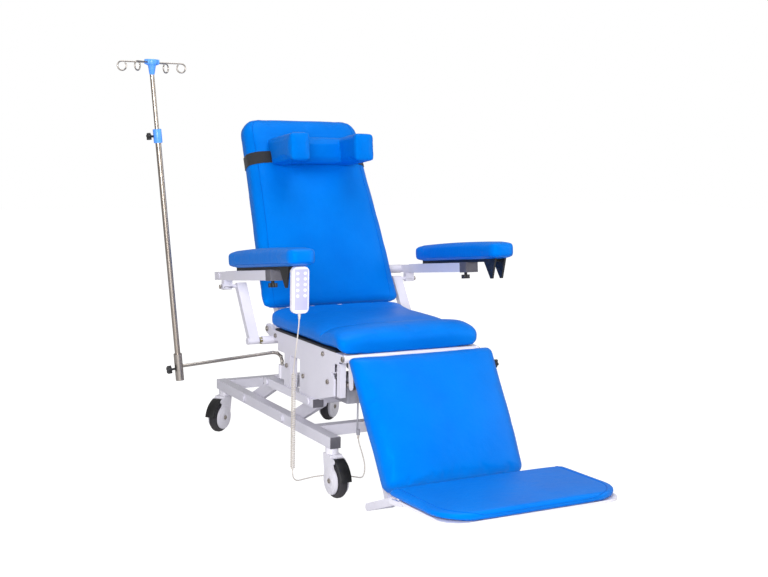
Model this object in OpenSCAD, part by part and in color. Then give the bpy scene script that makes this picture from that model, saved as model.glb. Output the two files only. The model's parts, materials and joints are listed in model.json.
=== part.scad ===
// Hemodialysis chair. Three upholstered sections ride on a parallelogram lift over four braked
// casters, with linked sliding arm rests, a folding foot rest, a corded handset and an IV pole.
// The chair faces -Y and the patient's right side is at -X. Lengths are millimetres.

/* [Base] */
// Length of the base rails
base_l = 1090; // [1000:5:1180]
// Width over the base rails
base_w = 556; // [540:2:620]
// Side of the square base rail
rail_w = 40; // [36:1:44]
// Wall of every steel tube
tube_wall = 2.5; // [2:0.1:4]
// From the rear end of the rails to the front cross tube
front_cross_set = 885; // [860:5:900]

/* [Casters] */
// Height of a caster from the floor to its seat on the rail
caster_h = 172; // [165:1:190]
// Diameter of the wheel
wheel_d = 125; // [110:1:130]
// Width of the tyre
tyre_w = 32; // [26:1:36]
// Trail of the wheel behind the swivel axis
caster_trail = 38; // [30:1:42]
// Diameter of the wheel axle
axle_d = 10; // [8:0.5:12]

/* [Lift] */
// Length of a lift arm between its pivots
lift_arm_l = 260; // [240:2:280]
// Slope of the lift arms at rest, in degrees
lift_slope = 26.3; // [20:0.1:32]
// Height of a lift arm seen from the side
lift_arm_w = 50; // [40:1:56]
// Diameter of the lift pivot pins
lift_pin_d = 16; // [12:0.5:18]

/* [Seat] */
// Width of the seat frame over its side channels
seat_frame_w = 540; // [520:2:560]
// Width of the seat cushion
seat_pad_w = 580; // [560:2:610]
// Thickness of the seat cushion at its edges
seat_pad_t = 58; // [45:1:70]
// Height of the seat's corner uprights
upright_h = 157; // [145:1:180]

/* [Back] */
// Length of the back cushion
back_l = 784; // [700:2:800]
// Width of the back cushion at its foot
back_w = 596; // [560:2:610]
// Thickness of the back cushion
back_t = 86; // [70:1:100]
// Lean of the back from upright, in degrees
back_lean = 28; // [18:1:40]

/* [Legs] */
// Length of the leg cushion
leg_l = 470; // [430:2:500]
// Width of the leg cushion at the knee
leg_w = 576; // [540:2:600]
// Slope of the leg section below level, in degrees
leg_slope = 61; // [55:1:68]
// Depth of the foot rest
foot_l = 346; // [300:2:380]
// Width of the foot rest
foot_w = 668; // [650:2:720]
// Thickness of the foot cushion
foot_pad_t = 30; // [24:1:36]

/* [Arms] */
// Slope of the arm rests, in degrees
arm_slope = 6.7; // [4:0.1:9]
// Half the distance between the arm tubes
arm_x = 403; // [398:1:420]
// Length of an arm pad
arm_pad_l = 588; // [500:2:600]
// Width of an arm pad
arm_pad_w = 110; // [90:1:120]
// Thickness of an arm pad
arm_pad_t = 56; // [45:1:62]

/* [IV pole] */
// Diameter of the lower pole
pole_d = 20; // [18:0.5:25]
// Diameter of the upper pole
pole_upper_d = 15; // [12:0.5:16]
// Diameter of the cranked rod
iv_rod_d = 12; // [10:0.5:14]
// Length of the longer bag hooks
hook_l = 92; // [70:1:110]

/* [Handset] */
// Width of the handset
handset_w = 62; // [54:1:70]
// Length of the handset
handset_l = 160; // [140:2:180]
// Thickness of the handset
handset_t = 25; // [20:1:30]
// Diameter of the handset's cord
cord_d = 4.5; // [4:0.1:5]
// Curls in the handset's cord
cord_curls = 54; // [40:1:56]
// Outer diameter of the curls
coil_d = 17; // [15:0.5:18]

/* [Hidden] */
$fn = 48;

// Finishes
vinyl = [0, 0.5, 0.95];
paint = [0.88, 0.88, 0.93];
grey = [0.38, 0.38, 0.42];
tyre_grey = [0.24, 0.22, 0.26];
black = [0.08, 0.08, 0.09];
steel = [0.62, 0.58, 0.54];
pole_blue = [0.3, 0.6, 1];
cable = [0.75, 0.72, 0.7];

// Shared clearances
overrun = 1;
run_fit = 0.05;
loose_fit = 0.3;
gap = 0.3;
bar_step = 0.4;

// Base
rail_x = base_w / 2 - rail_w / 2;
rail_top = caster_h + rail_w;
plug_t = 4;
caster_rear_set = 35;
caster_front_set = 25;
lift_pivot_up = 18;
lift_pivot_z = caster_h + lift_pivot_up;
lift_rear_y = -303;
lift_front_y = -680;
boss_d = 34;
boss_t = 1.5;
motor_ear_gap = 26;
motor_ear_t = 5;
ear_d = 30;
lift_motor_x = 90;
lift_motor_foot_up = 60;
lift_motor_foot = [-870, caster_h + lift_motor_foot_up];

// Casters
stem_d = 16;
stem_l = 22;
caster_boss_d = 46;
fork_w = 48;
fork_wall = 6;
cover_d = 98;
bridge_z = 128;
pedal_w = 40;
pedal_gap = 7;
pedal_t = 12;
pedal_pin_d = 8;
pedal_pin_set = [-16, 132];
caster_turn = [-53, -53, 0, -25];

// Lift linkage
lift_arm_t = 20;
lift_arm_clear = 2;
lift_arm_x = base_w / 2 - rail_w - lift_arm_clear - lift_arm_t;
lift_run = lift_arm_l * cos(lift_slope);
lift_rise = lift_arm_l * sin(lift_slope);
lift_rear_top = [lift_rear_y - lift_run, lift_pivot_z + lift_rise];
lift_front_top = [lift_front_y - lift_run, lift_pivot_z + lift_rise];
bolt_head_d = 26;
bolt_head_t = 7;
lift_rail_h = 30;
lift_rail_under = 17;
lift_rail_z = lift_rear_top[1] - lift_rail_under;
lift_rail_over_rear = 30;
lift_rail_over_front = 35;
lift_rail_l = lift_rear_y - lift_front_y + lift_rail_over_rear + lift_rail_over_front;
lift_rail_rear = lift_rear_top[0] + lift_rail_over_rear;
lift_top = lift_rail_z + lift_rail_h;
lift_cross_set = 66;
lift_motor_head_set = [64, 43];
lift_motor_head = lift_rear_top - lift_motor_head_set;

// Seat frame
seat_x = seat_frame_w / 2;
channel_w = 30;
channel_h = 38;
rail2_h = 35;
rail2_z = lift_top + upright_h;
under_rail_z = rail2_z - rail2_h;
frame_top = rail2_z + channel_h;
channel_rear = -566;
channel_front = -1130;
rail2_rear = -618;
rail2_front = -1096;
upright_rear = -679;
upright_w = 51;
front_plate_rear = -816;
front_plate_front = -1095;
front_plate_t = 8;
front_post_y = -1103;
front_post_w = 25;
board_t = 8;
board_rear = -592;
board_front = -1105;
cushion_z = frame_top + board_t;
bearing_plate_t = 12;
bearing_plate_d = 38;
front_cross_y = -973;

// Back hinge and the arm linkage, a parallelogram with the back
hinge_d = 16;
back_hinge_drop = 4;
back_hinge = [-518, frame_top - back_hinge_drop];
post_foot_drop = 41;
post_foot = [-560, frame_top - post_foot_drop];
post_run = 130;
post_rise = 195;
post_top = post_foot + [post_run, post_rise];
arm_pivot = back_hinge + [post_run, post_rise];
post_x = 345;
post_w = 40;
post_t = 26;
post_pin_d = 14;
post_stub_d = 31;
post_stub_x = 312;
nut_d = 26;
nut_t = 9;
washer_t = 3;

// Motors: foot pivot, and the eye of the rod at rest
motor_d = 44;
motor_rod_d = 20;
eye_d = 24;
eye_t = 18;
eye_pin_d = 12;
back_motor_x = -20;
back_motor_foot_up = 54;
back_motor_foot = [-935, lift_top + back_motor_foot_up];
back_motor_l = 195;
back_lever_l = 95;
back_tube_d = 30;
back_ear_d = 26;
back_lever_angle = -10;
back_motor_head = back_hinge + back_lever_l * [-sin(back_lever_angle), -cos(back_lever_angle)];
lift_motor_l = 205;
leg_motor_x = -228;
leg_motor_foot_up = 67;
leg_motor_foot = [-850, lift_top + leg_motor_foot_up];
leg_motor_l = 150;
leg_motor_d = 38;
motor_case_h = 82;
motor_case_l = 84;
motor_case_w = 42;

// Leg section, measured from its hinge along the slope
leg_hinge_drop = 13;
leg_hinge = [-1165, frame_top - leg_hinge_drop];
leg_tube_d = 26;
leg_pad_set = 16;
leg_pad_foot_t = 92;
leg_board_h = 38;
leg_rail_x = 225;
leg_rail_w = 25;
leg_lever_l = 95;
leg_lever_set = 10;
leg_motor_head = leg_hinge - [leg_lever_set, leg_lever_l];
foot_pivot = [-1598, 134];
foot_arm_end = [-1430, 66];
foot_arm_x = 300;
foot_arm_t = 10;
foot_arm_w = 26;
foot_pitch = 1.6;
foot_rear_y = -1605;
foot_board_z = 143;
foot_board_t = 8;
foot_board_in = [12, 8];
foot_board_r = 60;
foot_ear_drop = 2;

// Arm rests, measured from the arm pivot along the slope
arm_tube_w = 50;
arm_tube_h = 36;
arm_sleeve_set = 90;
arm_sleeve_l = 430;
arm_block_back = 43;
arm_block_l = 200;
arm_block_w = 36;
arm_pin_d = 20;
arm_spacer_d = 35;
arm_rail_t = 13;
arm_rail_w = 34;
arm_rail_set = 186;
arm_rail_l = 500;
arm_pad_set = 168;
arm_clamp_set = 466;
arm_clamp_l = 30;
bracket_set_left = 594;
bracket_set_right = 640;
bracket_l = 92;
bracket_drop = 62;
bracket_t = 8;

// Handset, hung on the left hand bracket as the picture shows it, at -X
handset_x = -arm_x;
handset_y = -1094;
handset_z = 656;
key_d = 11;
key_travel = 1;
key_rise = 3;
key_pitch = 19;
key_count = 5;
key_fit = 0.3;

// IV pole
iv_leg = [-262, -640];
iv_leg_up = 20;
iv_leg_z = lift_top + iv_leg_up;
iv_socket_d = 26;
pole_foot = [-665, -640, 362];
pole_lean = 5.3;
pole_socket_d = 30;
pole_socket_l = 98;
pole_l = 880;
collar_d = 30;
collar_l = 48;
pole_upper_top = 1092;
pole_upper_l = 520;
cone_l = 28;
crown_d = 56;
crown_h = 24;
hook_wire_d = 5;
hook_ring_r = 16;

// Handset cord: the lead to the coil and the tail to the control box
coil_top = [-382, -1008, 440];
coil_foot = [-382, -1008, 86];
lead_route = [
    [-403, -1094, 656], [-403, -1094, 646], [-402, -1088, 610], [-399, -1070, 560],
    [-393, -1046, 515], [-386, -1022, 475], [-382, -1008, 450.5], [-382, -1008, 440.5]
];
tail_route = [
    [-382, -1008, 86], [-382, -1008, 76], [-374, -1001, 56], [-352, -985, 41],
    [-312, -962, 36], [-258, -948, 35], [-204, -956, 35], [-164, -984, 36],
    [-139, -1020, 37], [-130, -1048, 42], [-128, -1064, 60], [-130, -1071, 92],
    [-140, -1072, 132], [-152, -1071, 168], [-158, -1070, 196], [-158, -1070, 206]
];
tail_end = tail_route[len(tail_route) - 1];
box_x = -204;
box_w = 100;
box_l = 99;
box_h = 96;
box_front = -1072;
plug_d = 13;
plug_l = 18;

// The reference point is under the middle of the whole chair, its cord left out
hook_reach = hook_l + hook_ring_r * 2 + hook_wire_d / 2;
pole_top_x = pole_foot[0] - pole_upper_top * sin(pole_lean);
chair_left = pole_top_x - hook_reach;
chair_right = arm_x + arm_pad_w / 2;
chair_front = foot_rear_y - foot_l;
place_x = -(chair_left + chair_right) / 2;
place_y = -(chair_front + plug_t) / 2;

module chair() {
    translate([place_x, place_y, 0]) children();
}

// A profile drawn in Y and Z, made solid from x0 to x1
module across(x0, x1) {
    translate([x0, 0, 0]) rotate([90, 0, 90]) linear_extrude(x1 - x0) children();
}

// The same shape on both sides of the chair
module both_sides() {
    children();
    mirror([1, 0, 0]) children();
}

// A bar with round ends between two points of a profile, a little slimmer than its ends
module bar(a, b, w) {
    slim = w - 2 * bar_step;
    translate(a) rotate(atan2(b[1] - a[1], b[0] - a[0])) translate([0, -slim / 2]) square([norm(b - a), slim]);
    translate(a) circle(d = w);
    translate(b) circle(d = w);
}

// A shaft along X at a point of the side view
module shaft(x0, x1, at, d) {
    translate([x0, at[0], at[1]]) rotate([0, 90, 0]) cylinder(d = d, h = x1 - x0);
}

// A round bar from one point to another
module aimed(a, b) {
    v = b - a;
    translate(a) rotate([0, acos(v[2] / norm(v)), atan2(v[1], v[0])]) children();
}

module round_bar(a, b, d) {
    aimed(a, b) cylinder(d = d, h = norm(b - a));
}

// A rectangle with round corners, drawn from its middle
module round_rect(w, h, r) {
    square([w - 2 * r, h], center = true);
    square([w, h - 2 * r], center = true);
    for (x = [-1, 1], y = [-1, 1])
        translate([x * (w / 2 - r), y * (h / 2 - r)]) circle(r);
}

// A box given by its two corners
module corner_box(a, b) {
    translate(a) cube(b - a);
}

// A rectangular tube along Y given by its two corners
module tube_y(a, b, wall = tube_wall) {
    difference() {
        corner_box(a, b);
        corner_box(a + [wall, -overrun, wall], b + [-wall, overrun, -wall]);
    }
}

lobe_count = 5;

// A knob with lobes on a stem, standing up from its seat. Size is its diameter and thickness,
// and the diameter and length of its stem.
module lobed_knob(size) {
    d = size[0];
    h = size[1];
    cylinder(d = size[2], h = size[3] + h / 2);
    translate([0, 0, size[3]]) linear_extrude(h) {
        circle(d = d * 0.72);
        for (i = [0 : lobe_count - 1])
            rotate(i * 360 / lobe_count) translate([d * 0.32, 0]) circle(d = d * 0.36);
    }
}

// Skins of the cushions

function power(v, e) = sign(v) * pow(abs(v), e);

// How far a quarter round of radius r draws the skin in at a distance s from the edge
function inset(s, r) = s >= r ? 0 : r - sqrt(max(0, r * r - (r - s) * (r - s)));

// One ring of a cushion. Size is width, length and thickness, rounds are the radii of the edge,
// the near corners and the far corners, and swell is the crown and how far the sides draw in.
function pad_ring(u, size, rounds, swell, wide, thick, rise, sides) =
    let (
        l = size[1],
        s = u * l,
        mid = 4 * u * (1 - u),
        down = inset(s, rounds[0]) + inset(l - s, rounds[0]),
        narrow = inset(s, rounds[1]) + inset(l - s, rounds[2]),
        hw = size[0] / 2 * lookup(u, wide) - narrow - swell[1] * mid,
        t = size[2] * lookup(u, thick),
        h0 = size[2] * lookup(u, rise) + down * 0.3
    )
    [for (i = [0 : sides - 1])
        let (
            a = 360 * (i + 0.5) / sides,
            cx = power(cos(a), 0.42),
            cz = power(sin(a), 0.5),
            half = (t - down * 1.3) / 2,
            dome = cz > 0 ? swell[0] * mid * (1 - cx * cx) : 0
        )
        [hw * cx, s, h0 + half + half * cz + dome]];

module skin(rings) {
    n = len(rings[0]);
    m = len(rings);
    points = [for (r = rings) each r];
    walls = [for (k = [0 : m - 2], i = [0 : n - 1])
        let (a = k * n + i, b = k * n + (i + 1) % n)
        each [[a, b, a + n], [b, b + n, a + n]]];
    first = [for (i = [1 : n - 2]) [0, i + 1, i]];
    last = [for (i = [1 : n - 2]) [(m - 1) * n, (m - 1) * n + i, (m - 1) * n + i + 1]];
    polyhedron(points = points, faces = concat(first, walls, last));
}

flat_shares = [[0, 1], [1, 1]];
level_shares = [[0, 0], [1, 0]];

// A cushion that lies along +Y with its flat back at z = 0
module cushion(size, rounds, swell, at, wide = flat_shares, thick = flat_shares, rise = level_shares,
        sides = 20) {
    skin([for (u = at) pad_ring(u, size, rounds, swell, wide, thick, rise, sides)]);
}

// A round cord along a list of points

function unit(v) = v / norm(v);
function course(p, i) = unit(p[min(i + 1, len(p) - 1)] - p[max(i - 1, 0)]);
function carried(side, t) = unit(side - (side * t) * t);

function cord_rings(p, d, sides, start) =
    [for (i = 0, s = carried(start, course(p, 0)); i < len(p);
            i = i + 1, s = i < len(p) ? carried(s, course(p, i)) : s)
        let (t = course(p, i), up = cross(t, s))
        [for (k = [0 : sides - 1]) p[i] + d / 2 * (cos(360 * k / sides) * s + sin(360 * k / sides) * up)]];

// A smooth course through hand-chosen points
function bend(a, b, c, d, t) =
    0.5 * (2 * b + (c - a) * t + (2 * a - 5 * b + 4 * c - d) * t * t + (3 * b - a - 3 * c + d) * t * t * t);

function smooth(p, steps) = concat(
    [for (i = [0 : len(p) - 2], k = [0 : steps - 1])
        bend(p[max(i - 1, 0)], p[i], p[i + 1], p[min(i + 2, len(p) - 1)], k / steps)],
    [p[len(p) - 1]]);

module cord(p, d, sides) {
    skin(cord_rings(p, d, sides, [0, 1, 0.2]));
}

// Frame of the back: Z runs up the back from the hinge, and -Y is its face
module back_frame_axes() {
    translate([0, back_hinge[0], back_hinge[1]]) rotate([-back_lean, 0, 0]) children();
}

// Frame of the leg section: -Y runs down the slope from the hinge, and +Z is its face
module leg_axes() {
    translate([0, leg_hinge[0], leg_hinge[1]]) rotate([leg_slope, 0, 0]) children();
}

// Frame of an arm: -Y runs up the slope from the arm pivot, and X is the arm's own middle
module arm_axes() {
    translate([arm_x, arm_pivot[0], arm_pivot[1]]) rotate([-arm_slope, 0, 0]) children();
}

// Frame of the foot rest: -Y runs to its front edge from the rear edge of its board
module foot_axes() {
    translate([0, foot_rear_y, foot_board_z]) rotate([-foot_pitch, 0, 0]) children();
}

// Two ears for a motor pivot, about a point of the side view
module ears(x, at, back, w = ear_d, bore = 0) {
    middle = motor_ear_gap / 2 + motor_ear_t / 2;
    for (s = [-1, 1])
        across(x + s * middle - motor_ear_t / 2, x + s * middle + motor_ear_t / 2) difference() {
            bar(at, back, w);
            translate(at) circle(d = bore);
        }
}

module base_frame() {
    color(paint) chair() {
        both_sides() {
            difference() {
                union() {
                    tube_y([rail_x - rail_w / 2, -base_l, caster_h], [rail_x + rail_w / 2, 0, rail_top]);
                    for (y = [lift_rear_y, lift_front_y])
                        shaft(rail_x + rail_w / 2 - tube_wall, rail_x + rail_w / 2 + boss_t,
                            [y, lift_pivot_z], boss_d);
                }
                for (y = [lift_rear_y, lift_front_y])
                    shaft(rail_x - rail_w / 2 - overrun, rail_x + rail_w / 2 + boss_t + overrun,
                        [y, lift_pivot_z], lift_pin_d + 2 * run_fit);
                for (y = [-caster_rear_set, -base_l + caster_front_set])
                    translate([rail_x, y, caster_h - overrun])
                        cylinder(d = stem_d + 2 * run_fit, h = tube_wall + 2 * overrun);
            }
        }
        for (y = [0, -front_cross_set])
            translate([-rail_x + rail_w / 2, y - rail_w, caster_h]) difference() {
                cube([2 * rail_x - rail_w, rail_w, rail_w]);
                translate([-overrun, tube_wall, tube_wall])
                    cube([2 * rail_x - rail_w + 2 * overrun, rail_w - 2 * tube_wall, rail_w - 2 * tube_wall]);
            }
        ears(lift_motor_x, lift_motor_foot, [lift_motor_foot[0] - ear_d * 0.9, rail_top - ear_d / 3],
            bore = eye_pin_d);
    }
}

module base_plugs() {
    color(grey) chair() both_sides() for (y = [-base_l - plug_t, 0])
        translate([rail_x - rail_w / 2, y, caster_h]) cube([rail_w, plug_t, rail_w]);
}

// Where each caster stands: rear left, rear right, front left and front right as the picture shows them
function caster_at(i) = [
    (i % 2 == 0 ? -1 : 1) * rail_x,
    i < 2 ? -caster_rear_set : -base_l + caster_front_set,
    0];

module at_caster(i) {
    chair() translate(caster_at(i)) rotate(caster_turn[i]) children();
}

wheel_r = wheel_d / 2;
wheel_at = [-caster_trail, wheel_r];
wheel_hinge = [wheel_at[0] + pedal_pin_set[0], pedal_pin_set[1]];
axle_end_clear = 1;
axle_l = fork_w - 2 * axle_end_clear;

module caster_housing(i) {
    inner = fork_w / 2 - fork_wall;
    hinge = wheel_hinge;
    color(paint) at_caster(i) {
        difference() {
            union() {
                across(-fork_w / 2, fork_w / 2) {
                    translate(wheel_at) circle(d = cover_d);
                    bar(hinge, [-stem_d, bridge_z + pedal_pin_d], pedal_pin_d * 2.5);
                    polygon([
                        [wheel_at[0] - cover_d / 4, wheel_at[1] + cover_d / 3],
                        [wheel_at[0] + cover_d * 0.46, wheel_at[1]],
                        [caster_boss_d * 0.45, bridge_z + pedal_t],
                        [caster_boss_d * 0.45, caster_h - stem_l],
                        [-caster_boss_d / 2 - pedal_t, caster_h - stem_l]
                    ]);
                }
                translate([0, 0, bridge_z]) cylinder(d = caster_boss_d, h = caster_h - gap - bridge_z);
                translate([0, 0, caster_h - stem_l]) cylinder(d = stem_d, h = 2 * stem_l - tube_wall);
            }
            across(-inner, inner) translate(wheel_at) circle(r = wheel_r + pedal_gap / 2);
            across(-inner, inner)
                translate([wheel_at[0] - wheel_r, 0]) square([wheel_r * 2, wheel_r]);
            shaft(-pedal_w / 2 - gap, pedal_w / 2 + gap, hinge, pedal_pin_d * 3);
        }
        shaft(-axle_l / 2, axle_l / 2, wheel_at, axle_d);
        shaft(-fork_w / 2, fork_w / 2, hinge, pedal_pin_d);
    }
}

module caster_wheel(i) {
    shoulder = 6;
    rim_shares = [0.62, 0.66];
    color(tyre_grey) at_caster(i)
        translate([0, wheel_at[0], wheel_at[1]]) rotate([0, 90, 0]) rotate_extrude()
            polygon([
                [axle_d / 2 + run_fit, -tyre_w / 2], [wheel_r * rim_shares[0], -tyre_w / 2],
                [wheel_r - shoulder, -tyre_w / 2], [wheel_r - shoulder / 3, -tyre_w / 3],
                [wheel_r, -tyre_w / 6], [wheel_r, tyre_w / 6],
                [wheel_r - shoulder / 3, tyre_w / 3], [wheel_r - shoulder, tyre_w / 2],
                [wheel_r * rim_shares[0], tyre_w / 2], [axle_d / 2 + run_fit, tyre_w / 2]
            ]);
}

module caster_pedal(i) {
    hinge = wheel_hinge;
    reach = wheel_r + pedal_gap + pedal_t;
    color(black) at_caster(i) difference() {
        union() {
            across(-pedal_w / 2, pedal_w / 2) difference() {
                translate(wheel_at) circle(r = reach);
                translate(wheel_at) circle(r = wheel_r + pedal_gap);
                translate([wheel_at[0] + pedal_pin_set[0], -reach]) square([2 * reach, 4 * reach]);
                translate([wheel_at[0] - 2 * reach, wheel_at[1] - 2 * reach + pedal_t])
                    square([4 * reach, 2 * reach]);
            }
            shaft(-pedal_w / 2, pedal_w / 2, hinge, pedal_pin_d * 2);
        }
        shaft(-pedal_w / 2 - overrun, pedal_w / 2 + overrun, hinge, pedal_pin_d + 2 * run_fit);
    }
}

// A pair of lift arms with their pins, heads and the shaft that joins them
module lift_arms(foot, head) {
    color(paint) chair() {
        both_sides() {
            across(lift_arm_x, lift_arm_x + lift_arm_t) bar(foot, head, lift_arm_w);
            for (at = [foot, head]) {
                shaft(lift_arm_x, base_w / 2 + boss_t + gap, at, lift_pin_d);
                shaft(base_w / 2 + boss_t + gap, base_w / 2 + boss_t + gap + bolt_head_t, at, bolt_head_d);
            }
        }
        shaft(-lift_arm_x, lift_arm_x, head, bolt_head_d);
    }
}

module lift_arm_rear() {
    lift_arms([lift_rear_y, lift_pivot_z], lift_rear_top);
}

module lift_arm_front() {
    lift_arms([lift_front_y, lift_pivot_z], lift_front_top);
}

module lift_frame() {
    rear = lift_rail_rear;
    cross_y = rear - lift_cross_set - lift_rail_h;
    color(paint) chair() {
        both_sides() difference() {
            tube_y([rail_x - rail_w / 2, rear - lift_rail_l, lift_rail_z],
                   [rail_x + rail_w / 2, rear, lift_top]);
            shaft(rail_x - rail_w / 2 - overrun, rail_x + rail_w / 2 + overrun, lift_rear_top,
                lift_pin_d + 2 * loose_fit);
            shaft(rail_x - rail_w / 2 - overrun, rail_x + rail_w / 2 + overrun, lift_front_top,
                lift_pin_d + 2 * run_fit);
        }
        translate([-rail_x + rail_w / 2, cross_y, lift_rail_z]) difference() {
            cube([2 * rail_x - rail_w, lift_rail_h, lift_rail_h]);
            translate([-overrun, tube_wall, tube_wall])
                cube([2 * rail_x - rail_w + 2 * overrun, lift_rail_h - 2 * tube_wall,
                      lift_rail_h - 2 * tube_wall]);
        }
        ears(lift_motor_x, lift_motor_head, [cross_y + ear_d / 2, lift_rail_z + lift_rail_h / 2], eye_d);
    }
}

module lift_plugs() {
    color(grey) chair() both_sides() for (y = [lift_rail_rear, lift_rail_rear - lift_rail_l - plug_t])
        translate([rail_x - rail_w / 2, y, lift_rail_z]) cube([rail_w, plug_t, lift_rail_h]);
}

// A motor's body: foot eye, gear case and guide tube, bored for its rod
module motor_body(x, foot, head, l, d) {
    aim = atan2(head[1] - foot[1], head[0] - foot[0]);
    chair() translate([x, foot[0], foot[1]]) rotate([aim, 0, 0]) difference() {
        union() {
            shaft(-eye_t / 2, eye_t / 2, [0, 0], eye_d);
            corner_box([-eye_t / 2, 0, -eye_d / 3], [eye_t / 2, eye_d, eye_d / 3]);
            shaft(-motor_ear_gap / 2 - motor_ear_t, motor_ear_gap / 2 + motor_ear_t, [0, 0],
                eye_pin_d - 2 * run_fit);
            translate([0, eye_d * 0.7, 0]) rotate([-90, 0, 0]) cylinder(d = d, h = l - eye_d * 0.7);
        }
        translate([0, eye_d, 0]) rotate([-90, 0, 0]) cylinder(d = motor_rod_d + 2 * run_fit, h = l);
    }
}

// A motor's rod with the eye at its end
module motor_rod(x, foot, head, l) {
    reach = norm(head - foot);
    aim = atan2(head[1] - foot[1], head[0] - foot[0]);
    chair() translate([x, foot[0], foot[1]]) rotate([aim, 0, 0]) {
        translate([0, reach - l, 0]) rotate([-90, 0, 0]) cylinder(d = motor_rod_d, h = l - eye_d / 3);
        shaft(-eye_t / 2, eye_t / 2, [reach, 0], eye_d);
    }
}

module lift_motor() {
    color(grey) motor_body(lift_motor_x, lift_motor_foot, lift_motor_head, lift_motor_l, motor_d);
}

lift_rod_l = 218;

module lift_motor_rod() {
    color(steel) motor_rod(lift_motor_x, lift_motor_foot, lift_motor_head, lift_rod_l);
}

module back_motor() {
    color(grey) motor_body(back_motor_x, back_motor_foot, back_motor_head, back_motor_l, motor_d);
}

back_rod_l = 300;

module back_motor_rod() {
    color(steel) motor_rod(back_motor_x, back_motor_foot, back_motor_head, back_rod_l);
}

module leg_motor() {
    color(paint) motor_body(leg_motor_x, leg_motor_foot, leg_motor_head, leg_motor_l, leg_motor_d);
    color(paint) chair()
        corner_box([leg_motor_x - motor_case_w / 2 + gap, leg_motor_foot[0] - motor_case_l,
                    leg_motor_foot[1] + leg_motor_d / 2 - overrun],
                   [leg_motor_x + motor_case_w / 2, leg_motor_foot[0] - eye_d,
                    leg_motor_foot[1] - leg_motor_d / 2 + motor_case_h - eye_d]);
}

leg_rod_l = 285;

module leg_motor_rod() {
    color(steel) motor_rod(leg_motor_x, leg_motor_foot, leg_motor_head, leg_rod_l);
}

module seat_frame() {
    cross_w = 30;
    cross_at = [-1100, -740];
    cheek_over = 2;
    web_clear = 2;
    color(paint) chair() {
        both_sides() {
            difference() {
                union() {
                    tube_y([seat_x - channel_w, channel_front, rail2_z], [seat_x, channel_rear, frame_top]);
                    tube_y([seat_x - channel_w, rail2_front, under_rail_z], [seat_x, rail2_rear, rail2_z]);
                    corner_box([seat_x - channel_w, upright_rear - upright_w, lift_top],
                               [seat_x, upright_rear, under_rail_z]);
                    across(seat_x - front_plate_t, seat_x) polygon([
                        [front_plate_rear, lift_top], [front_plate_rear, under_rail_z],
                        [front_plate_front + front_post_w, under_rail_z],
                        [front_plate_front, under_rail_z - front_post_w],
                        [front_plate_front, lift_top + rail_w], [lift_rail_rear - lift_rail_l, lift_top]
                    ]);
                    corner_box([seat_x - channel_w, front_post_y - front_post_w, lift_top + rail_w],
                               [seat_x - front_plate_t, front_post_y, rail2_z]);
                    across(seat_x - bearing_plate_t, seat_x) {
                        bar(back_hinge, [channel_rear - bearing_plate_d / 2, back_hinge[1] - channel_h / 2],
                            bearing_plate_d);
                        bar(leg_hinge, [channel_front + bearing_plate_d / 2, leg_hinge[1]],
                            leg_tube_d + cheek_over);
                    }
                    shaft(seat_x - channel_w, post_stub_x, post_foot, post_stub_d);
                }
                shaft(seat_x - bearing_plate_t - overrun, seat_x + overrun, back_hinge, hinge_d + 2 * run_fit);
                shaft(seat_x - bearing_plate_t - overrun, seat_x + overrun, leg_hinge, hinge_d + 2 * run_fit);
            }
            shaft(post_stub_x - overrun, post_x + post_w / 2 + gap, post_foot, post_pin_d);
            shaft(post_x + post_w / 2 + gap, post_x + post_w / 2 + gap + bolt_head_t, post_foot, bolt_head_d);
            translate([post_stub_x, post_foot[0], post_foot[1]]) rotate([0, 90, 0])
                cylinder(d = nut_d, h = nut_t, $fn = 6);
        }
        for (y = cross_at)
            corner_box([-seat_x + channel_w, y, rail2_z + tube_wall],
                       [seat_x - channel_w, y + cross_w, frame_top - tube_wall]);
        corner_box([-seat_x + front_plate_t, front_cross_y, lift_top + tube_wall],
                   [seat_x - front_plate_t, front_cross_y + cross_w, lift_top + cross_w]);
        ears(back_motor_x, back_motor_foot, [front_cross_y + cross_w / 2, lift_top + cross_w / 2],
            eye_d, eye_pin_d);
        ears(leg_motor_x, leg_motor_foot, [leg_motor_foot[0], under_rail_z], eye_d, eye_pin_d);
        corner_box([-seat_x + channel_w - tube_wall, leg_motor_foot[0] - eye_d * 0.6, under_rail_z],
                   [leg_motor_x + motor_ear_gap / 2 + motor_ear_t * 1.4, leg_motor_foot[0] + eye_d * 0.6,
                    under_rail_z + motor_ear_t]);
        difference() {
            translate([iv_leg[0], iv_leg[1], iv_leg_z]) cylinder(d = iv_socket_d, h = upright_w);
            translate([iv_leg[0], iv_leg[1], iv_leg_z + front_plate_t])
                cylinder(d = iv_rod_d + 2 * run_fit, h = upright_w);
        }
        corner_box([-seat_x, upright_rear - overrun, iv_leg_z],
                   [-seat_x + front_plate_t * 2, iv_leg[1] - iv_rod_d / 2 - web_clear, iv_leg_z + upright_w]);
    }
}

module seat_board() {
    color(black) chair()
        corner_box([-seat_x, board_front, frame_top], [seat_x, board_rear, cushion_z - gap]);
}

seat_pad_l = 610;
seat_pad_rear = -564;
seat_rounds = [24, 20, 34];
seat_swell = [22, 4];
seat_at_shares = [0, 0.012, 0.04, 0.09, 0.2, 0.4, 0.6, 0.68, 0.71, 0.75, 0.83, 0.905, 0.953, 0.985, 1];
seat_thick_shares = [[0, 0.95], [0.2, 1.0], [0.62, 0.98], [0.69, 0.9], [0.71, 0.84], [0.75, 1.0],
    [0.85, 1.24], [0.953, 1.1], [1, 1]];

module seat_cushion() {
    color(vinyl) chair() translate([0, seat_pad_rear, cushion_z]) rotate([0, 0, 180])
        cushion([seat_pad_w, seat_pad_l, seat_pad_t], seat_rounds, seat_swell, seat_at_shares,
            thick = seat_thick_shares);
}

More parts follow.
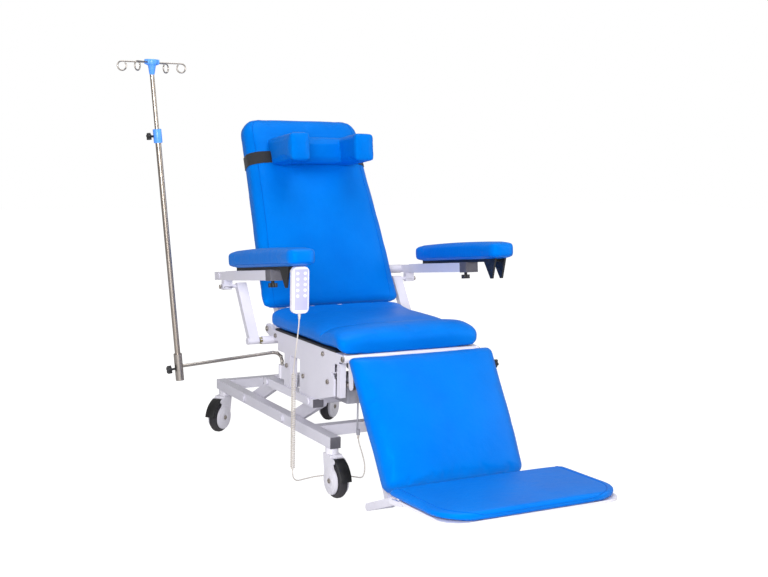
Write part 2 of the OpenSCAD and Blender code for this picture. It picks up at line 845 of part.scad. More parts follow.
module control_box() {
    color([0.72, 0.72, 0.76]) chair() {
        translate([box_x + box_w / 2, box_front + box_l / 2, lift_top + tube_wall]) linear_extrude(box_h)
            round_rect(box_w, box_l, plug_d / 2);
        translate(tail_end + [0, plug_d / 2, plug_l])
            cylinder(d = plug_d / 2, h = lift_top + tube_wall - tail_end[2] - plug_l);
        translate(tail_end) cylinder(d = plug_d, h = plug_l + overrun);
    }
}

back_foot = 58;
back_set = 19;
back_bow = 19;
back_rail_x = 195;
back_rail_w = 25;
back_rail_h = 34;
back_rail_l = 700;

module back_frame() {
    rail_face = -back_set + gap;
    color(paint) chair() {
        back_frame_axes() {
            both_sides() {
                tube_z([back_rail_x - back_rail_w / 2, rail_face, 0],
                       [back_rail_x + back_rail_w / 2, rail_face + back_rail_h, back_rail_l]);
            }
            for (z_share = [0.06, 0.3, 0.62, 0.97])
                corner_box([-back_rail_x + back_rail_w / 2, rail_face + tube_wall, back_rail_l * z_share],
                           [back_rail_x - back_rail_w / 2, rail_face + back_rail_h - tube_wall,
                            back_rail_l * z_share + back_rail_w]);
        }
        shaft(-seat_x + bearing_plate_t + gap, seat_x - bearing_plate_t - gap, back_hinge, back_tube_d);
        shaft(-seat_x, seat_x, back_hinge, hinge_d);
        both_sides() {
            across(back_rail_x + back_rail_w / 2, back_rail_x + back_rail_w / 2 + motor_ear_t * 2)
                bar(back_hinge, arm_pivot, arm_spacer_d + motor_ear_t);
            shaft(back_rail_x, arm_x - arm_block_w / 2 - gap, arm_pivot, arm_spacer_d);
            shaft(back_rail_x, arm_x + arm_block_w / 2 + gap, arm_pivot, arm_pin_d);
            shaft(arm_x + arm_block_w / 2 + gap, arm_x + arm_block_w / 2 + gap + washer_t, arm_pivot, eye_d);
        }
        ears(back_motor_x, back_hinge, back_motor_head, back_ear_d);
    }
}

// A rectangular tube along Z given by its two corners
module tube_z(a, b, wall = tube_wall) {
    difference() {
        corner_box(a, b);
        corner_box(a + [wall, wall, -overrun], b + [-wall, -wall, overrun]);
    }
}

back_rounds = [22, 26, 58];
back_swell = [12, 5];
back_at_shares = [0, 0.012, 0.04, 0.1, 0.2, 0.34, 0.5, 0.66, 0.8, 0.88, 0.93, 0.965, 0.988, 1];
back_wide_shares = [[0, 0.985], [0.04, 1], [0.25, 0.97], [0.5, 0.925], [0.75, 0.885], [1, 0.865]];
back_thick_shares = [[0, 0.36], [0.12, 0.54], [0.25, 0.78], [0.4, 0.96], [0.55, 1.02], [0.8, 0.96], [1, 0.9]];
back_rise_shares = [for (u = back_at_shares) [u, back_bow / back_t * (2 * u - 1) * (2 * u - 1)]];

// Skin of the back cushion, or of a band around it that stands off by a set amount
module back_skin(off) {
    back_frame_axes() translate([0, -back_set + off, back_foot]) rotate([90, 0, 0])
        cushion([back_w + 2 * off, back_l, back_t + 2 * off], back_rounds, back_swell, back_at_shares,
            wide = back_wide_shares, thick = back_thick_shares, rise = back_rise_shares);
}

module back_cushion() {
    color(vinyl) chair() back_skin(0);
}

strap_foot = 628;
strap_w = 50;
strap_t = 2;

module strap_band(off, more) {
    intersection() {
        back_skin(off);
        back_frame_axes() translate([-back_w, -back_w, strap_foot - more])
            cube([2 * back_w, 2 * back_w, strap_w + 2 * more]);
    }
}

module head_strap() {
    color(black) chair() difference() {
        strap_band(2 * gap + strap_t, 0);
        strap_band(2 * gap, overrun);
    }
}

pillow_w = 366;
pillow_h = 110;
pillow_side_w = 84;
pillow_deep = 280;
pillow_band = 140;
pillow_lean = 8;
pillow_seat = 120;
pillow_at = [-240, 1127];
pillow_block_rounds = [14, 8, 12];
pillow_band_rounds = [10, 4, 4];
pillow_swell = [4, 1];
pillow_at_shares = [0, 0.03, 0.1, 0.25, 0.5, 0.75, 0.9, 0.97, 1];
band_at_shares = [0, 0.1, 0.3, 0.5, 0.7, 0.9, 1];

module neck_pillow() {
    block = [pillow_side_w, pillow_deep, pillow_h];
    color(vinyl) chair() difference() {
        translate([0, pillow_at[0], pillow_at[1]]) rotate([-pillow_lean, 0, 0]) {
            both_sides() translate([pillow_w / 2 - pillow_side_w / 2, 0, 0]) rotate([0, 0, 180])
                cushion(block, pillow_block_rounds, pillow_swell, pillow_at_shares, sides = 16);
            translate([pillow_w / 2 - pillow_side_w / 2, -pillow_band / 2, 0]) rotate([0, 0, 90])
                cushion([pillow_band, pillow_w - pillow_side_w, pillow_h * 0.98], pillow_band_rounds,
                    pillow_swell, band_at_shares, sides = 16);
        }
        back_frame_axes() translate([-pillow_w, -pillow_seat, 0]) cube([2 * pillow_w, pillow_w, 4 * pillow_w]);
    }
}

leg_rail_set = 12;
leg_rail_over = 50;
leg_root_l = 60;
leg_knob_set = 66;
leg_knob_h = 24;
leg_knob_x = 289;
leg_knob_boss_d = 16;

module leg_frame() {
    back = leg_board_h - gap;
    rail_in = leg_rail_x - leg_rail_w / 2;
    rail_out = leg_rail_x + leg_rail_w / 2;
    color(paint) chair() {
        leg_axes() {
            both_sides() {
                corner_box([rail_in, -leg_l - leg_rail_over, back - leg_rail_w],
                           [rail_out, -leg_rail_set, back]);
                corner_box([rail_in, -leg_root_l, -leg_tube_d / 3],
                           [rail_out, 0, back - leg_rail_w + overrun]);
            }
            for (y_share = [0.3, 0.93])
                corner_box([-leg_rail_x, -leg_l * y_share - leg_rail_w, back - leg_rail_w + tube_wall],
                           [leg_rail_x, -leg_l * y_share, back - tube_wall]);
            translate([rail_out - overrun, -leg_knob_set, leg_knob_h]) rotate([0, 90, 0])
                cylinder(d = leg_knob_boss_d, h = leg_knob_x - rail_out + overrun);
        }
        shaft(-seat_x + bearing_plate_t + gap, seat_x - bearing_plate_t - gap, leg_hinge, leg_tube_d);
        shaft(-seat_x, seat_x, leg_hinge, hinge_d);
        ears(leg_motor_x, leg_hinge, leg_motor_head, eye_d);
    }
}

leg_rounds = [26, 18, 34];
leg_swell = [14, 2];
leg_at_shares = [0, 0.02, 0.06, 0.15, 0.35, 0.55, 0.75, 0.87, 0.94, 0.98, 1];
leg_wide_shares = [[0, 1], [0.5, 0.97], [1, 0.92]];
leg_thick_shares = [[0, 0.55], [0.3, 0.72], [0.7, 0.96], [1, 1]];

module leg_cushion() {
    color(vinyl) chair() leg_axes() translate([0, -leg_pad_set, leg_board_h]) rotate([0, 0, 180])
        cushion([leg_w, leg_l, leg_pad_foot_t], leg_rounds, leg_swell, leg_at_shares,
            wide = leg_wide_shares, thick = leg_thick_shares);
}

leg_knob_size = [32, 16, 9, 14];

module leg_knob() {
    color(black) chair() leg_axes() translate([leg_knob_x + gap, -leg_knob_set, leg_knob_h]) rotate([0, 90, 0])
        lobed_knob(leg_knob_size);
}

module foot_arms() {
    color(paint) chair() both_sides() {
        across(foot_arm_x, foot_arm_x + foot_arm_t) difference() {
            bar(foot_arm_end, foot_pivot, foot_arm_w);
            translate(foot_pivot) circle(d = hinge_d + 2 * run_fit);
        }
        round_bar([leg_rail_x + leg_rail_w / 2, foot_arm_end[0], foot_arm_end[1]],
                  [foot_arm_x + overrun, foot_arm_end[0], foot_arm_end[1]], leg_rail_w);
    }
}

module foot_board() {
    color(paint) chair() {
        foot_axes() translate([0, -foot_l / 2, 0]) linear_extrude(foot_board_t)
            round_rect(foot_w - 2 * foot_board_in[0], foot_l - 2 * foot_board_in[1], foot_board_r);
        both_sides() {
            across(foot_arm_x + foot_arm_t + gap, foot_arm_x + 2 * foot_arm_t + gap)
                bar(foot_pivot, [foot_rear_y - foot_arm_w * 2, foot_board_z - foot_ear_drop],
                    foot_arm_t * 1.6);
            shaft(foot_arm_x - gap, foot_arm_x + 2 * foot_arm_t, foot_pivot, hinge_d);
        }
    }
}

foot_rounds = [12, 12, 118];
foot_swell = [5, 0];
foot_at_shares = [0, 0.02, 0.05, 0.3, 0.6, 0.72, 0.8, 0.88, 0.94, 0.98, 0.995, 1];

module foot_cushion() {
    color(vinyl) chair() foot_axes() translate([0, 0, foot_board_t + gap]) rotate([0, 0, 180])
        cushion([foot_w, foot_l, foot_pad_t], foot_rounds, foot_swell, foot_at_shares);
}

module arm_tubes() {
    color(paint) chair() both_sides() {
        difference() {
            union() {
                arm_axes() tube_y([-arm_tube_w / 2, -arm_sleeve_set - arm_sleeve_l, -arm_tube_h / 2],
                                  [arm_tube_w / 2, -arm_sleeve_set, arm_tube_h / 2]);
                arm_axes() corner_box(
                    [-arm_block_w / 2, -arm_block_l + arm_block_back, -arm_tube_h / 2 + tube_wall],
                    [arm_block_w / 2, arm_block_back, arm_tube_h / 2 - tube_wall]);
                across(arm_x - arm_block_w / 2, arm_x + arm_block_w / 2)
                    bar(post_top, post_top + [0, arm_tube_h], eye_d);
            }
            shaft(arm_x - arm_block_w, arm_x + arm_block_w, arm_pivot, arm_pin_d + 2 * run_fit);
            shaft(arm_x - arm_block_w, arm_x + arm_block_w, post_top, post_pin_d + 2 * loose_fit);
        }
        arm_axes() corner_box([-arm_tube_w / 2, -arm_sleeve_set - arm_sleeve_l - plug_t, -arm_tube_h / 2],
                              [arm_tube_w / 2, -arm_sleeve_set - arm_sleeve_l, arm_tube_h / 2]);
    }
}

module arm_posts() {
    color(paint) chair() both_sides() {
        difference() {
            across(post_x - post_w / 2, post_x + post_w / 2) bar(post_foot, post_top, post_t);
            shaft(post_x - post_w, post_x + post_w, post_foot, post_pin_d + 2 * run_fit);
        }
        shaft(post_x, arm_x + arm_block_w / 2 + gap, post_top, post_pin_d);
        shaft(arm_x + arm_block_w / 2 + gap, arm_x + arm_block_w / 2 + gap + washer_t, post_top, eye_d);
    }
}

// The slide rail under a pad, with the bracket at its front
module arm_rail(bracket_set) {
    rail_z0 = arm_tube_h / 2 + gap;
    arm_axes() {
        corner_box([-arm_rail_w / 2, -arm_rail_set - arm_rail_l, rail_z0],
                   [arm_rail_w / 2, -arm_rail_set, rail_z0 + arm_rail_t]);
        for (s = [-1, 1])
            across(s * (arm_rail_w / 2 + bracket_t / 2) - bracket_t / 2,
                   s * (arm_rail_w / 2 + bracket_t / 2) + bracket_t / 2)
                polygon([[-bracket_set, rail_z0 + arm_rail_t],
                         [-bracket_set - bracket_l / 2, rail_z0 - bracket_drop],
                         [-bracket_set - bracket_l * 0.62, rail_z0 - bracket_drop],
                         [-bracket_set - bracket_l * 0.9, rail_z0 + arm_rail_t]]);
    }
}

module arm_rail_left() {
    color(black) chair() mirror([1, 0, 0]) arm_rail(bracket_set_left);
}

module arm_rail_right() {
    color(black) chair() arm_rail(bracket_set_right);
}

arm_rounds = [20, 30, 36];
arm_swell = [7, 1.5];
arm_at_shares = [0, 0.012, 0.035, 0.08, 0.25, 0.5, 0.75, 0.92, 0.965, 0.988, 1];

module arm_pad() {
    arm_axes() translate([0, -arm_pad_set, arm_tube_h / 2 + 2 * gap + arm_rail_t]) rotate([0, 0, 180])
        cushion([arm_pad_w, arm_pad_l, arm_pad_t], arm_rounds, arm_swell, arm_at_shares, sides = 18);
}

module arm_pad_left() {
    color(vinyl) chair() mirror([1, 0, 0]) arm_pad();
}

module arm_pad_right() {
    color(vinyl) chair() arm_pad();
}

arm_knob_size = [34, 15, 12, 10];

// The band that clamps the pad's slide, with its knob below
module arm_knob() {
    arm_axes() {
        translate([0, -arm_clamp_set - arm_clamp_l / 2, -arm_tube_h / 2 - gap]) rotate([180, 0, 0])
            lobed_knob(arm_knob_size);
    }
}

module arm_knob_left() {
    color(black) chair() mirror([1, 0, 0]) arm_knob();
}

module arm_knob_right() {
    color(black) chair() arm_knob();
}

key_face_y = handset_y - handset_t / 2;
key_well = 2.5;
hanger_l = 44;
hook_drop = 18;
hook_t = 8;

module at_keys(column) {
    for (k = [0 : key_count - 1])
        translate([handset_x + column * handset_w * 0.22, key_face_y,
                   handset_z + handset_l - key_pitch * (k + 1.2)])
            rotate([90, 0, 0]) children();
}

module handset() {
    color(paint) chair() {
        difference() {
            union() {
                translate([handset_x, handset_y + handset_t / 2, handset_z + handset_l / 2]) rotate([90, 0, 0])
                    linear_extrude(handset_t) round_rect(handset_w, handset_l, handset_t * 0.48);
                corner_box([handset_x - arm_rail_w / 2 + gap, handset_y + handset_t / 2 - overrun,
                            handset_z + handset_l - hook_drop - hook_t],
                           [handset_x + arm_rail_w / 2 - gap, handset_y + handset_t / 2 + hanger_l,
                            handset_z + handset_l - hook_drop]);
            }
            for (column = [-1, 1])
                at_keys(column) translate([0, 0, -key_well])
                    cylinder(d = key_d + 2 * key_fit, h = key_well + overrun);
        }
    }
}

module keys(column) {
    color([0.86, 0.84, 0.95]) chair() at_keys(column) translate([0, 0, -key_well + key_travel + gap / 2])
        cylinder(d = key_d, h = key_well - key_travel + key_rise - gap / 2);
}

module handset_keys_up() {
    keys(-1);
}

module handset_keys_down() {
    keys(1);
}

module handset_lead() {
    color(cable) chair() cord(smooth(lead_route, 3), cord_d, 8);
}

module handset_tail() {
    color(cable) chair() cord(smooth(tail_route, 3), cord_d, 8);
}

// The curly part: the radius grows over the first curl and shrinks over the last
coil_r = coil_d / 2 - cord_d / 2;
coil_steps = 8;
coil_straight = cord_d;
coil_run = coil_top[2] - coil_foot[2] - 2 * coil_straight;
coil_pitch = coil_run / cord_curls;
coil_points = concat(
    [coil_top],
    [for (i = [0 : cord_curls * coil_steps])
        let (turn = i / coil_steps, r = coil_r * min(1, turn, cord_curls - turn))
        [coil_top[0] + r * cos(360 * turn), coil_top[1] + r * sin(360 * turn),
         coil_top[2] - coil_straight - turn * coil_pitch]],
    [coil_foot]);
coil_gaps = [for (i = [0 : len(coil_points) - 1], k = [5 : 14])
    if (i + k < len(coil_points)) norm(coil_points[i] - coil_points[i + k]) - cord_d];
echo(least_gap_in_the_curls = min(coil_gaps));

module handset_coil() {
    color(cable) chair() skin(cord_rings(coil_points, cord_d, 6, [0, 1, 0.2]));
}

// The cranked rod carries the pole beside the seat
rod_leg_top = 402;
rod_bend_r = 36;
rod_droop = 4;
rod_l = 358;
rod_bend_steps = 3;
rod_weld = 2;

module iv_rod() {
    turn = 90 + rod_droop;
    bend_at = [for (i = [0 : rod_bend_steps]) let (a = turn * i / rod_bend_steps)
        [iv_leg[0] - rod_bend_r * (1 - cos(a)), iv_leg[1], rod_leg_top + rod_bend_r * sin(a)]];
    elbow = bend_at[rod_bend_steps];
    places = concat([[iv_leg[0], iv_leg[1], iv_leg_z + front_plate_t + gap]], bend_at,
        [elbow + rod_l * [-cos(rod_droop), 0, -sin(rod_droop)]]);
    color(steel) chair() {
        for (i = [0 : len(places) - 2]) {
            round_bar(places[i], places[i + 1], iv_rod_d);
            if (i > 0)
                aimed(places[i], places[i + 1]) sphere(d = iv_rod_d + rod_weld);
        }
        pole_axes() difference() {
            cylinder(d = pole_socket_d, h = pole_socket_l);
            translate([0, 0, pole_floor]) cylinder(d = pole_d + 2 * run_fit, h = pole_socket_l);
        }
    }
}

pole_floor = 6;
rod_knob_size = [32, 14, 8, 8];
socket_knob_size = [30, 14, 8, 14];
collar_knob_size = [26, 12, 8, 10];

// Frame of the pole: Z runs up the pole from the foot of its socket
module pole_axes() {
    translate(pole_foot) rotate([0, -pole_lean, 0]) children();
}

module iv_rod_knob() {
    color(black) chair() translate([iv_leg[0] + iv_socket_d / 2 + gap, iv_leg[1], iv_leg_z + upright_w / 2])
        rotate([0, 90, 0]) lobed_knob(rod_knob_size);
}

module iv_socket_knob() {
    color(black) chair() pole_axes() translate([-pole_socket_d / 2 - gap, 0, pole_socket_l * 0.45])
        rotate([0, -90, 0]) lobed_knob(socket_knob_size);
}

module iv_pole() {
    color(steel) chair() pole_axes() translate([0, 0, pole_floor + gap]) difference() {
        cylinder(d = pole_d, h = pole_l - pole_floor - gap);
        translate([0, 0, overrun]) cylinder(d = pole_upper_d + 2 * run_fit, h = pole_l);
    }
}

module iv_collar() {
    color(pole_blue) chair() pole_axes() translate([0, 0, pole_l - collar_l / 2]) difference() {
        cylinder(d = collar_d, h = collar_l);
        translate([0, 0, -overrun]) cylinder(d = pole_d + 2 * gap, h = collar_l / 2 + overrun + gap);
        translate([0, 0, -overrun]) cylinder(d = pole_upper_d + 2 * run_fit, h = collar_l + 2 * overrun);
    }
}

module iv_collar_knob() {
    color(black) chair() pole_axes() translate([-collar_d / 2 - gap, 0, pole_l]) rotate([0, -90, 0])
        lobed_knob(collar_knob_size);
}

module iv_pole_upper() {
    color(steel) chair() pole_axes() translate([0, 0, pole_upper_top - pole_upper_l])
        cylinder(d = pole_upper_d, h = pole_upper_l);
}

hook_turns = [0, 38, 180, 218];
hook_shares = [1, 0.7, 1, 0.7];

module iv_hook_head() {
    top = pole_foot + (pole_upper_top + gap) * [-sin(pole_lean), 0, cos(pole_lean)];
    color(pole_blue) chair() translate(top) {
        difference() {
            union() {
                cylinder(d1 = collar_d * 0.7, d2 = collar_d, h = cone_l);
                translate([0, 0, cone_l]) cylinder(d = crown_d, h = crown_h);
            }
            translate([0, 0, cone_l + crown_h / 2]) cylinder(d = crown_d * 0.3, h = crown_h);
        }
        for (i = [0 : len(hook_turns) - 1]) {
            reach = crown_d / 2 + (hook_l - crown_d / 2) * hook_shares[i];
            rotate(hook_turns[i]) translate([0, 0, cone_l + crown_h / 2]) {
                round_bar([crown_d / 4, 0, 0], [reach, 0, 0], hook_wire_d);
                translate([reach + hook_ring_r, 0, 0]) rotate_extrude()
                    translate([hook_ring_r, 0]) circle(d = hook_wire_d);
            }
        }
    }
}

base_frame();
base_plugs();
caster_housing(0);  // caster_bl_housing
caster_wheel(0);  // caster_bl_wheel
caster_pedal(0);  // caster_bl_pedal
caster_housing(1);  // caster_br_housing
caster_wheel(1);  // caster_br_wheel
caster_pedal(1);  // caster_br_pedal
caster_housing(2);  // caster_fl_housing
caster_wheel(2);  // caster_fl_wheel
caster_pedal(2);  // caster_fl_pedal
caster_housing(3);  // caster_fr_housing
caster_wheel(3);  // caster_fr_wheel
caster_pedal(3);  // caster_fr_pedal
lift_arm_rear();
lift_arm_front();
lift_frame();
lift_plugs();
lift_motor();
lift_motor_rod();
seat_frame();
seat_board();
seat_cushion();
control_box();
back_motor();
back_motor_rod();
leg_motor();
leg_motor_rod();
back_frame();
back_cushion();
head_strap();
neck_pillow();
leg_frame();
leg_cushion();
leg_knob();
foot_arms();
foot_board();
foot_cushion();
arm_tubes();
arm_posts();
arm_rail_left();
arm_rail_right();
arm_pad_left();
arm_pad_right();
arm_knob_left();
arm_knob_right();
handset();
handset_keys_up();
handset_keys_down();
handset_lead();
handset_coil();
handset_tail();
iv_rod();
iv_rod_knob();
iv_socket_knob();
iv_pole();
iv_collar();
iv_collar_knob();
iv_pole_upper();
iv_hook_head();
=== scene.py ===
import json
import math

import bmesh
import bpy
from mathutils import Matrix, Vector
from mathutils.bvhtree import BVHTree


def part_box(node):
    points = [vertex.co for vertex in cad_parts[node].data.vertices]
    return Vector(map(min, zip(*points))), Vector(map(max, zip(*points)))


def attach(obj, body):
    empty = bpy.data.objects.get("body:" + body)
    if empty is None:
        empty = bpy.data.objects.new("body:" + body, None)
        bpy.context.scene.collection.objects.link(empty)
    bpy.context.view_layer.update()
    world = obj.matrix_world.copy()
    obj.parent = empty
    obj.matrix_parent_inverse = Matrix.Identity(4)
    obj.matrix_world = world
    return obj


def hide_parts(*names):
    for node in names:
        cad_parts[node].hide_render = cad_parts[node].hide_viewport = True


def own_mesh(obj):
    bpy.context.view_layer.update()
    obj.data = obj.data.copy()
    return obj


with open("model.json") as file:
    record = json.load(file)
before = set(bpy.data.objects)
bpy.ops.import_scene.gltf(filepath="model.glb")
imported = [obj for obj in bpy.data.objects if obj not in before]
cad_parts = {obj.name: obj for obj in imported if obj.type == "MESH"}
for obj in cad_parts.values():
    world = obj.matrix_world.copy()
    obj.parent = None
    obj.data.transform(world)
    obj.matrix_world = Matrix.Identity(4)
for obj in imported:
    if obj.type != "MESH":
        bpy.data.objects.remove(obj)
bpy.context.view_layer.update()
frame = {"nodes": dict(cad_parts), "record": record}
nodes = frame["nodes"]
scene = bpy.context.scene


def shift(x, y, z):
    return Matrix.Translation((x, y, z))


def turn(angle, axis):
    return Matrix.Rotation(math.radians(angle), 4, axis)


# Millimetres measured from under the middle of the base's rear end, made metres in the row's frame
CHAIR = shift(0.217184, 0.9735, 0) @ Matrix.Scale(0.001, 4)
BACK = CHAIR @ shift(0, -518, 509.199) @ turn(-28, "X")
LEG = CHAIR @ shift(0, -1165, 500.199) @ turn(61, "X")
FOOT = CHAIR @ shift(0, -1605, 143) @ turn(-1.6, "X")
POLE = CHAIR @ shift(-665, -640, 362) @ turn(-5.3, "Y")


def arm(side):
    return CHAIR @ shift(side * 403, -388, 704.199) @ turn(-6.7, "X")


def caster(x, y, angle):
    return CHAIR @ shift(x, y, 0) @ turn(angle, "Z")


CASTERS = {
    "bl": caster(-258, -35, -53), "br": caster(258, -35, -53),
    "fl": caster(-258, -1065, 0), "fr": caster(258, -1065, -25),
}


# Camera: 36 mm frame, level turned 28.9 degrees, looking 7.3 degrees down with 1.2 degrees of tilt

def place_camera():
    swing, down, tilt = (math.radians(v) for v in (-28.9, 7.3, 1.2))
    side = Vector((math.cos(swing), math.sin(swing), 0))
    ahead = Vector((-math.sin(swing), math.cos(swing), 0))
    look = ahead * math.cos(down) - Vector((0, 0, math.sin(down)))
    rise = ahead * math.sin(down) + Vector((0, 0, math.cos(down)))
    right = side * math.cos(tilt) + rise * math.sin(tilt)
    up = rise * math.cos(tilt) - side * math.sin(tilt)
    pose = Matrix((right, up, -look)).transposed().to_4x4()
    pose.translation = CHAIR @ Vector((-2088, -4733, 1259))
    data = bpy.data.cameras.new("camera")
    data.lens = 56.25
    data.sensor_width = 36
    data.clip_end = 60
    camera = bpy.data.objects.new("camera", data)
    camera.matrix_world = pose
    scene.collection.objects.link(camera)
    scene.camera = camera


place_camera()


# Materials

class Value:
    """A socket that can be added, taken away, multiplied and compared like a number"""

    def __init__(self, finish, socket):
        self.finish = finish
        self.socket = socket

    def sum(self, operation, first, second=0.0):
        return self.finish.node("Math", {"operation": operation}, {0: first, 1: second})

    def __add__(self, other):
        return self.sum("ADD", self, other)

    def __sub__(self, other):
        return self.sum("SUBTRACT", self, other)

    def __rsub__(self, other):
        return self.sum("SUBTRACT", other, self)

    def __mul__(self, other):
        return self.sum("MULTIPLY", self, other)

    __radd__ = __add__
    __rmul__ = __mul__

    def over(self, edge, soft):
        return self.finish.node("MapRange", {"interpolation_type": "SMOOTHSTEP"},
                                {"Value": self, "From Min": edge - soft, "From Max": edge + soft})

    def sine(self):
        return self.sum("SINE", self)


class Finish:
    """One material, written as expressions on values"""

    def __init__(self, name):
        self.material = bpy.data.materials.new(name)
        self.material.use_nodes = True
        self.tree = self.material.node_tree
        self.shader = self.tree.nodes["Principled BSDF"]

    def node(self, kind, settings=(), inputs=(), out=0):
        made = self.tree.nodes.new("ShaderNode" + kind)
        for key, value in dict(settings).items():
            setattr(made, key, value)
        for key, value in dict(inputs).items():
            self.feed(made.inputs[key], value)
        return Value(self, made.outputs[out])

    def feed(self, socket, value):
        if isinstance(value, Value):
            self.tree.links.new(value.socket, socket)
        else:
            socket.default_value = value

    def place(self, stretch=(1, 1, 1), angles=(0, 0, 0)):
        where = self.node("TexCoord", out="Object")
        turns = tuple(math.radians(a) for a in angles)
        return self.node("Mapping", {}, {"Vector": where, "Rotation": turns, "Scale": stretch})

    def noise(self, scale, detail=3, rough=0.5, stretch=(1, 1, 1), angles=(0, 0, 0)):
        return self.node("TexNoise", {}, {"Vector": self.place(stretch, angles), "Scale": scale,
                                          "Detail": detail, "Roughness": rough})

    def cells(self, scale, feature="F1", stretch=(1, 1, 1)):
        return self.node("TexVoronoi", {"feature": feature},
                         {"Vector": self.place(stretch), "Scale": scale})

    def axis(self, letter, angles=(0, 0, 0)):
        return self.node("SeparateXYZ", {}, {0: self.place(angles=angles)}, out=letter)

    def blend(self, amount, first, second):
        return self.node("Mix", {"data_type": "RGBA"}, {0: amount, 6: first, 7: second}, out=2)

    def bump(self, height, distance, strength=1.0, under=None):
        inputs = {"Height": height, "Distance": distance, "Strength": strength}
        if under is not None:
            inputs["Normal"] = under
        return self.node("Bump", {}, inputs)

    def wear(self, colour, roughness, normal=None, **fixed):
        self.feed(self.shader.inputs["Base Color"], colour)
        self.feed(self.shader.inputs["Roughness"], roughness)
        if normal is not None:
            self.feed(self.shader.inputs["Normal"], normal)
        for key, value in fixed.items():
            self.shader.inputs[key.replace("_", " ")].default_value = value
        return self.material


def rgb(red, green, blue):
    """A colour as a picture writes it, 0 to 255, made linear"""
    return tuple(((v / 255 + 0.055) / 1.055) ** 2.4 if v > 10 else v / 3294.6
                 for v in (red, green, blue)) + (1,)


def blue_vinyl(name="blue_vinyl", waves=1.0):
    f = Finish(name)
    cloudy = f.noise(7, 4, 0.55)
    soft = f.noise(4.2, 2, 0.45)
    creases = f.noise(26, 5, 0.6, (1, 1.6, 0.7))
    pebble = f.cells(620, "SMOOTH_F1") * 0.7 + f.cells(1500, "F1") * 0.3
    pores = f.noise(2300, 2, 0.6)
    shine = f.noise(60, 3, 0.6)
    colour = f.blend(cloudy, rgb(0, 104, 204), rgb(0, 122, 222))
    colour = f.blend((pebble * 0.9).over(0.42, 0.2) * 0.16, colour, rgb(0, 84, 178))
    normal = f.bump(soft, 0.012, 0.5 * waves)
    normal = f.bump(creases, 0.0028, 0.45 * waves, normal)
    normal = f.bump(pebble * 0.8 + pores * 0.2, 0.00035, 0.55, normal)
    return f.wear(colour, 0.33 + shine * 0.1 + cloudy * 0.06, normal, Specular_IOR_Level=0.4,
                  Specular_Tint=rgb(0, 150, 255))


def vinyl_piping():
    f = Finish("vinyl_piping")
    grain = f.cells(700, "F1")
    colour = f.blend(f.noise(30), rgb(0, 92, 190), rgb(0, 112, 212))
    return f.wear(colour, 0.36 + grain * 0.1, f.bump(grain, 0.0003, 0.6),
                  Specular_IOR_Level=0.3, Specular_Tint=rgb(0, 150, 255))


def white_paint():
    f = Finish("white_paint")
    peel = f.noise(260, 2, 0.5)
    film = f.noise(9, 4, 0.6)
    specks = f.cells(85).over(0.07, 0.03)
    height = f.axis("Z")
    grime = (1 - height.over(0.16, 0.16)) * f.noise(24, 5, 0.7)
    colour = f.blend(film, rgb(212, 209, 222), rgb(222, 220, 231))
    colour = f.blend(grime * 0.3, colour, rgb(150, 146, 152))
    colour = f.blend((1 - specks) * 0.25, colour, rgb(170, 166, 178))
    return f.wear(colour, 0.28 + peel * 0.1 + grime * 0.2, f.bump(peel, 0.00025, 0.5),
                  Specular_IOR_Level=0.5)


def white_plastic(name, low, high, rough):
    f = Finish(name)
    spark = f.noise(900, 2, 0.6)
    film = f.noise(14, 4, 0.6)
    colour = f.blend(film, low, high)
    return f.wear(colour, rough + film * 0.08, f.bump(spark, 0.0001, 0.5))


def dark_plastic(name, low, high, rough=0.42):
    f = Finish(name)
    erosion = f.cells(900) * 0.6 + f.noise(1400, 2) * 0.4
    dust = f.noise(18, 5, 0.65)
    colour = f.blend(dust.over(0.62, 0.2), low, high)
    return f.wear(colour, rough + erosion * 0.12 + dust * 0.08, f.bump(erosion, 0.00022, 0.6))


def tyre_rubber():
    f = Finish("tyre_rubber")
    height = f.axis("Z")
    dust = (1 - height.over(0.035, 0.035)) * f.noise(40, 5, 0.7)
    scuff = f.noise(160, 4, 0.7)
    colour = f.blend(f.noise(12, 3), rgb(34, 32, 38), rgb(50, 48, 54))
    colour = f.blend(dust * 0.4, colour, rgb(126, 120, 118))
    return f.wear(colour, 0.6 + scuff * 0.2, f.bump(scuff, 0.0006, 0.6))


def satin_steel(name, angles=(0, 0, 0), warm=0.0):
    f = Finish(name)
    drawn = f.noise(300, 4, 0.65, (1, 1, 0.03), angles)
    smear = f.noise(7, 4, 0.6)
    low = rgb(150 + 8 * warm, 143, 138 - 8 * warm)
    colour = f.blend(smear, low, rgb(206, 198, 190))
    colour = f.blend(drawn * 0.4, colour, rgb(120, 112, 104))
    f.shader.inputs["Metallic"].default_value = 1
    return f.wear(colour, 0.2 + drawn * 0.16 + smear * 0.08, f.bump(drawn, 0.00012, 0.4))


def olive_brass():
    f = Finish("olive_brass")
    f.shader.inputs["Metallic"].default_value = 1
    stain = f.noise(90, 5, 0.7)
    return f.wear(f.blend(stain, rgb(132, 124, 72), rgb(186, 172, 110)), 0.3 + stain * 0.25,
                  f.bump(f.noise(700), 0.0001, 0.5))


def light_blue_plastic():
    f = Finish("light_blue_plastic")
    flow = f.noise(22, 4, 0.6)
    colour = f.blend(flow, rgb(62, 138, 240), rgb(96, 164, 255))
    return f.wear(colour, 0.26 + flow * 0.12, f.bump(f.noise(800, 2), 0.0001, 0.5),
                  Specular_IOR_Level=0.55)


def black_webbing():
    f = Finish("black_webbing")
    along = (f.axis("X") * 1900).sine()
    across = (f.axis("Z", (-28, 0, 0)) * 3400).sine()
    weave = (along * across) * 0.5 + 0.5
    lint = f.noise(300, 4, 0.7)
    colour = f.blend(weave * 0.6 + lint * 0.4, rgb(12, 12, 14), rgb(44, 44, 48))
    return f.wear(colour, 0.72 + lint * 0.2, f.bump(weave, 0.0006, 0.8), Sheen_Weight=0.15)


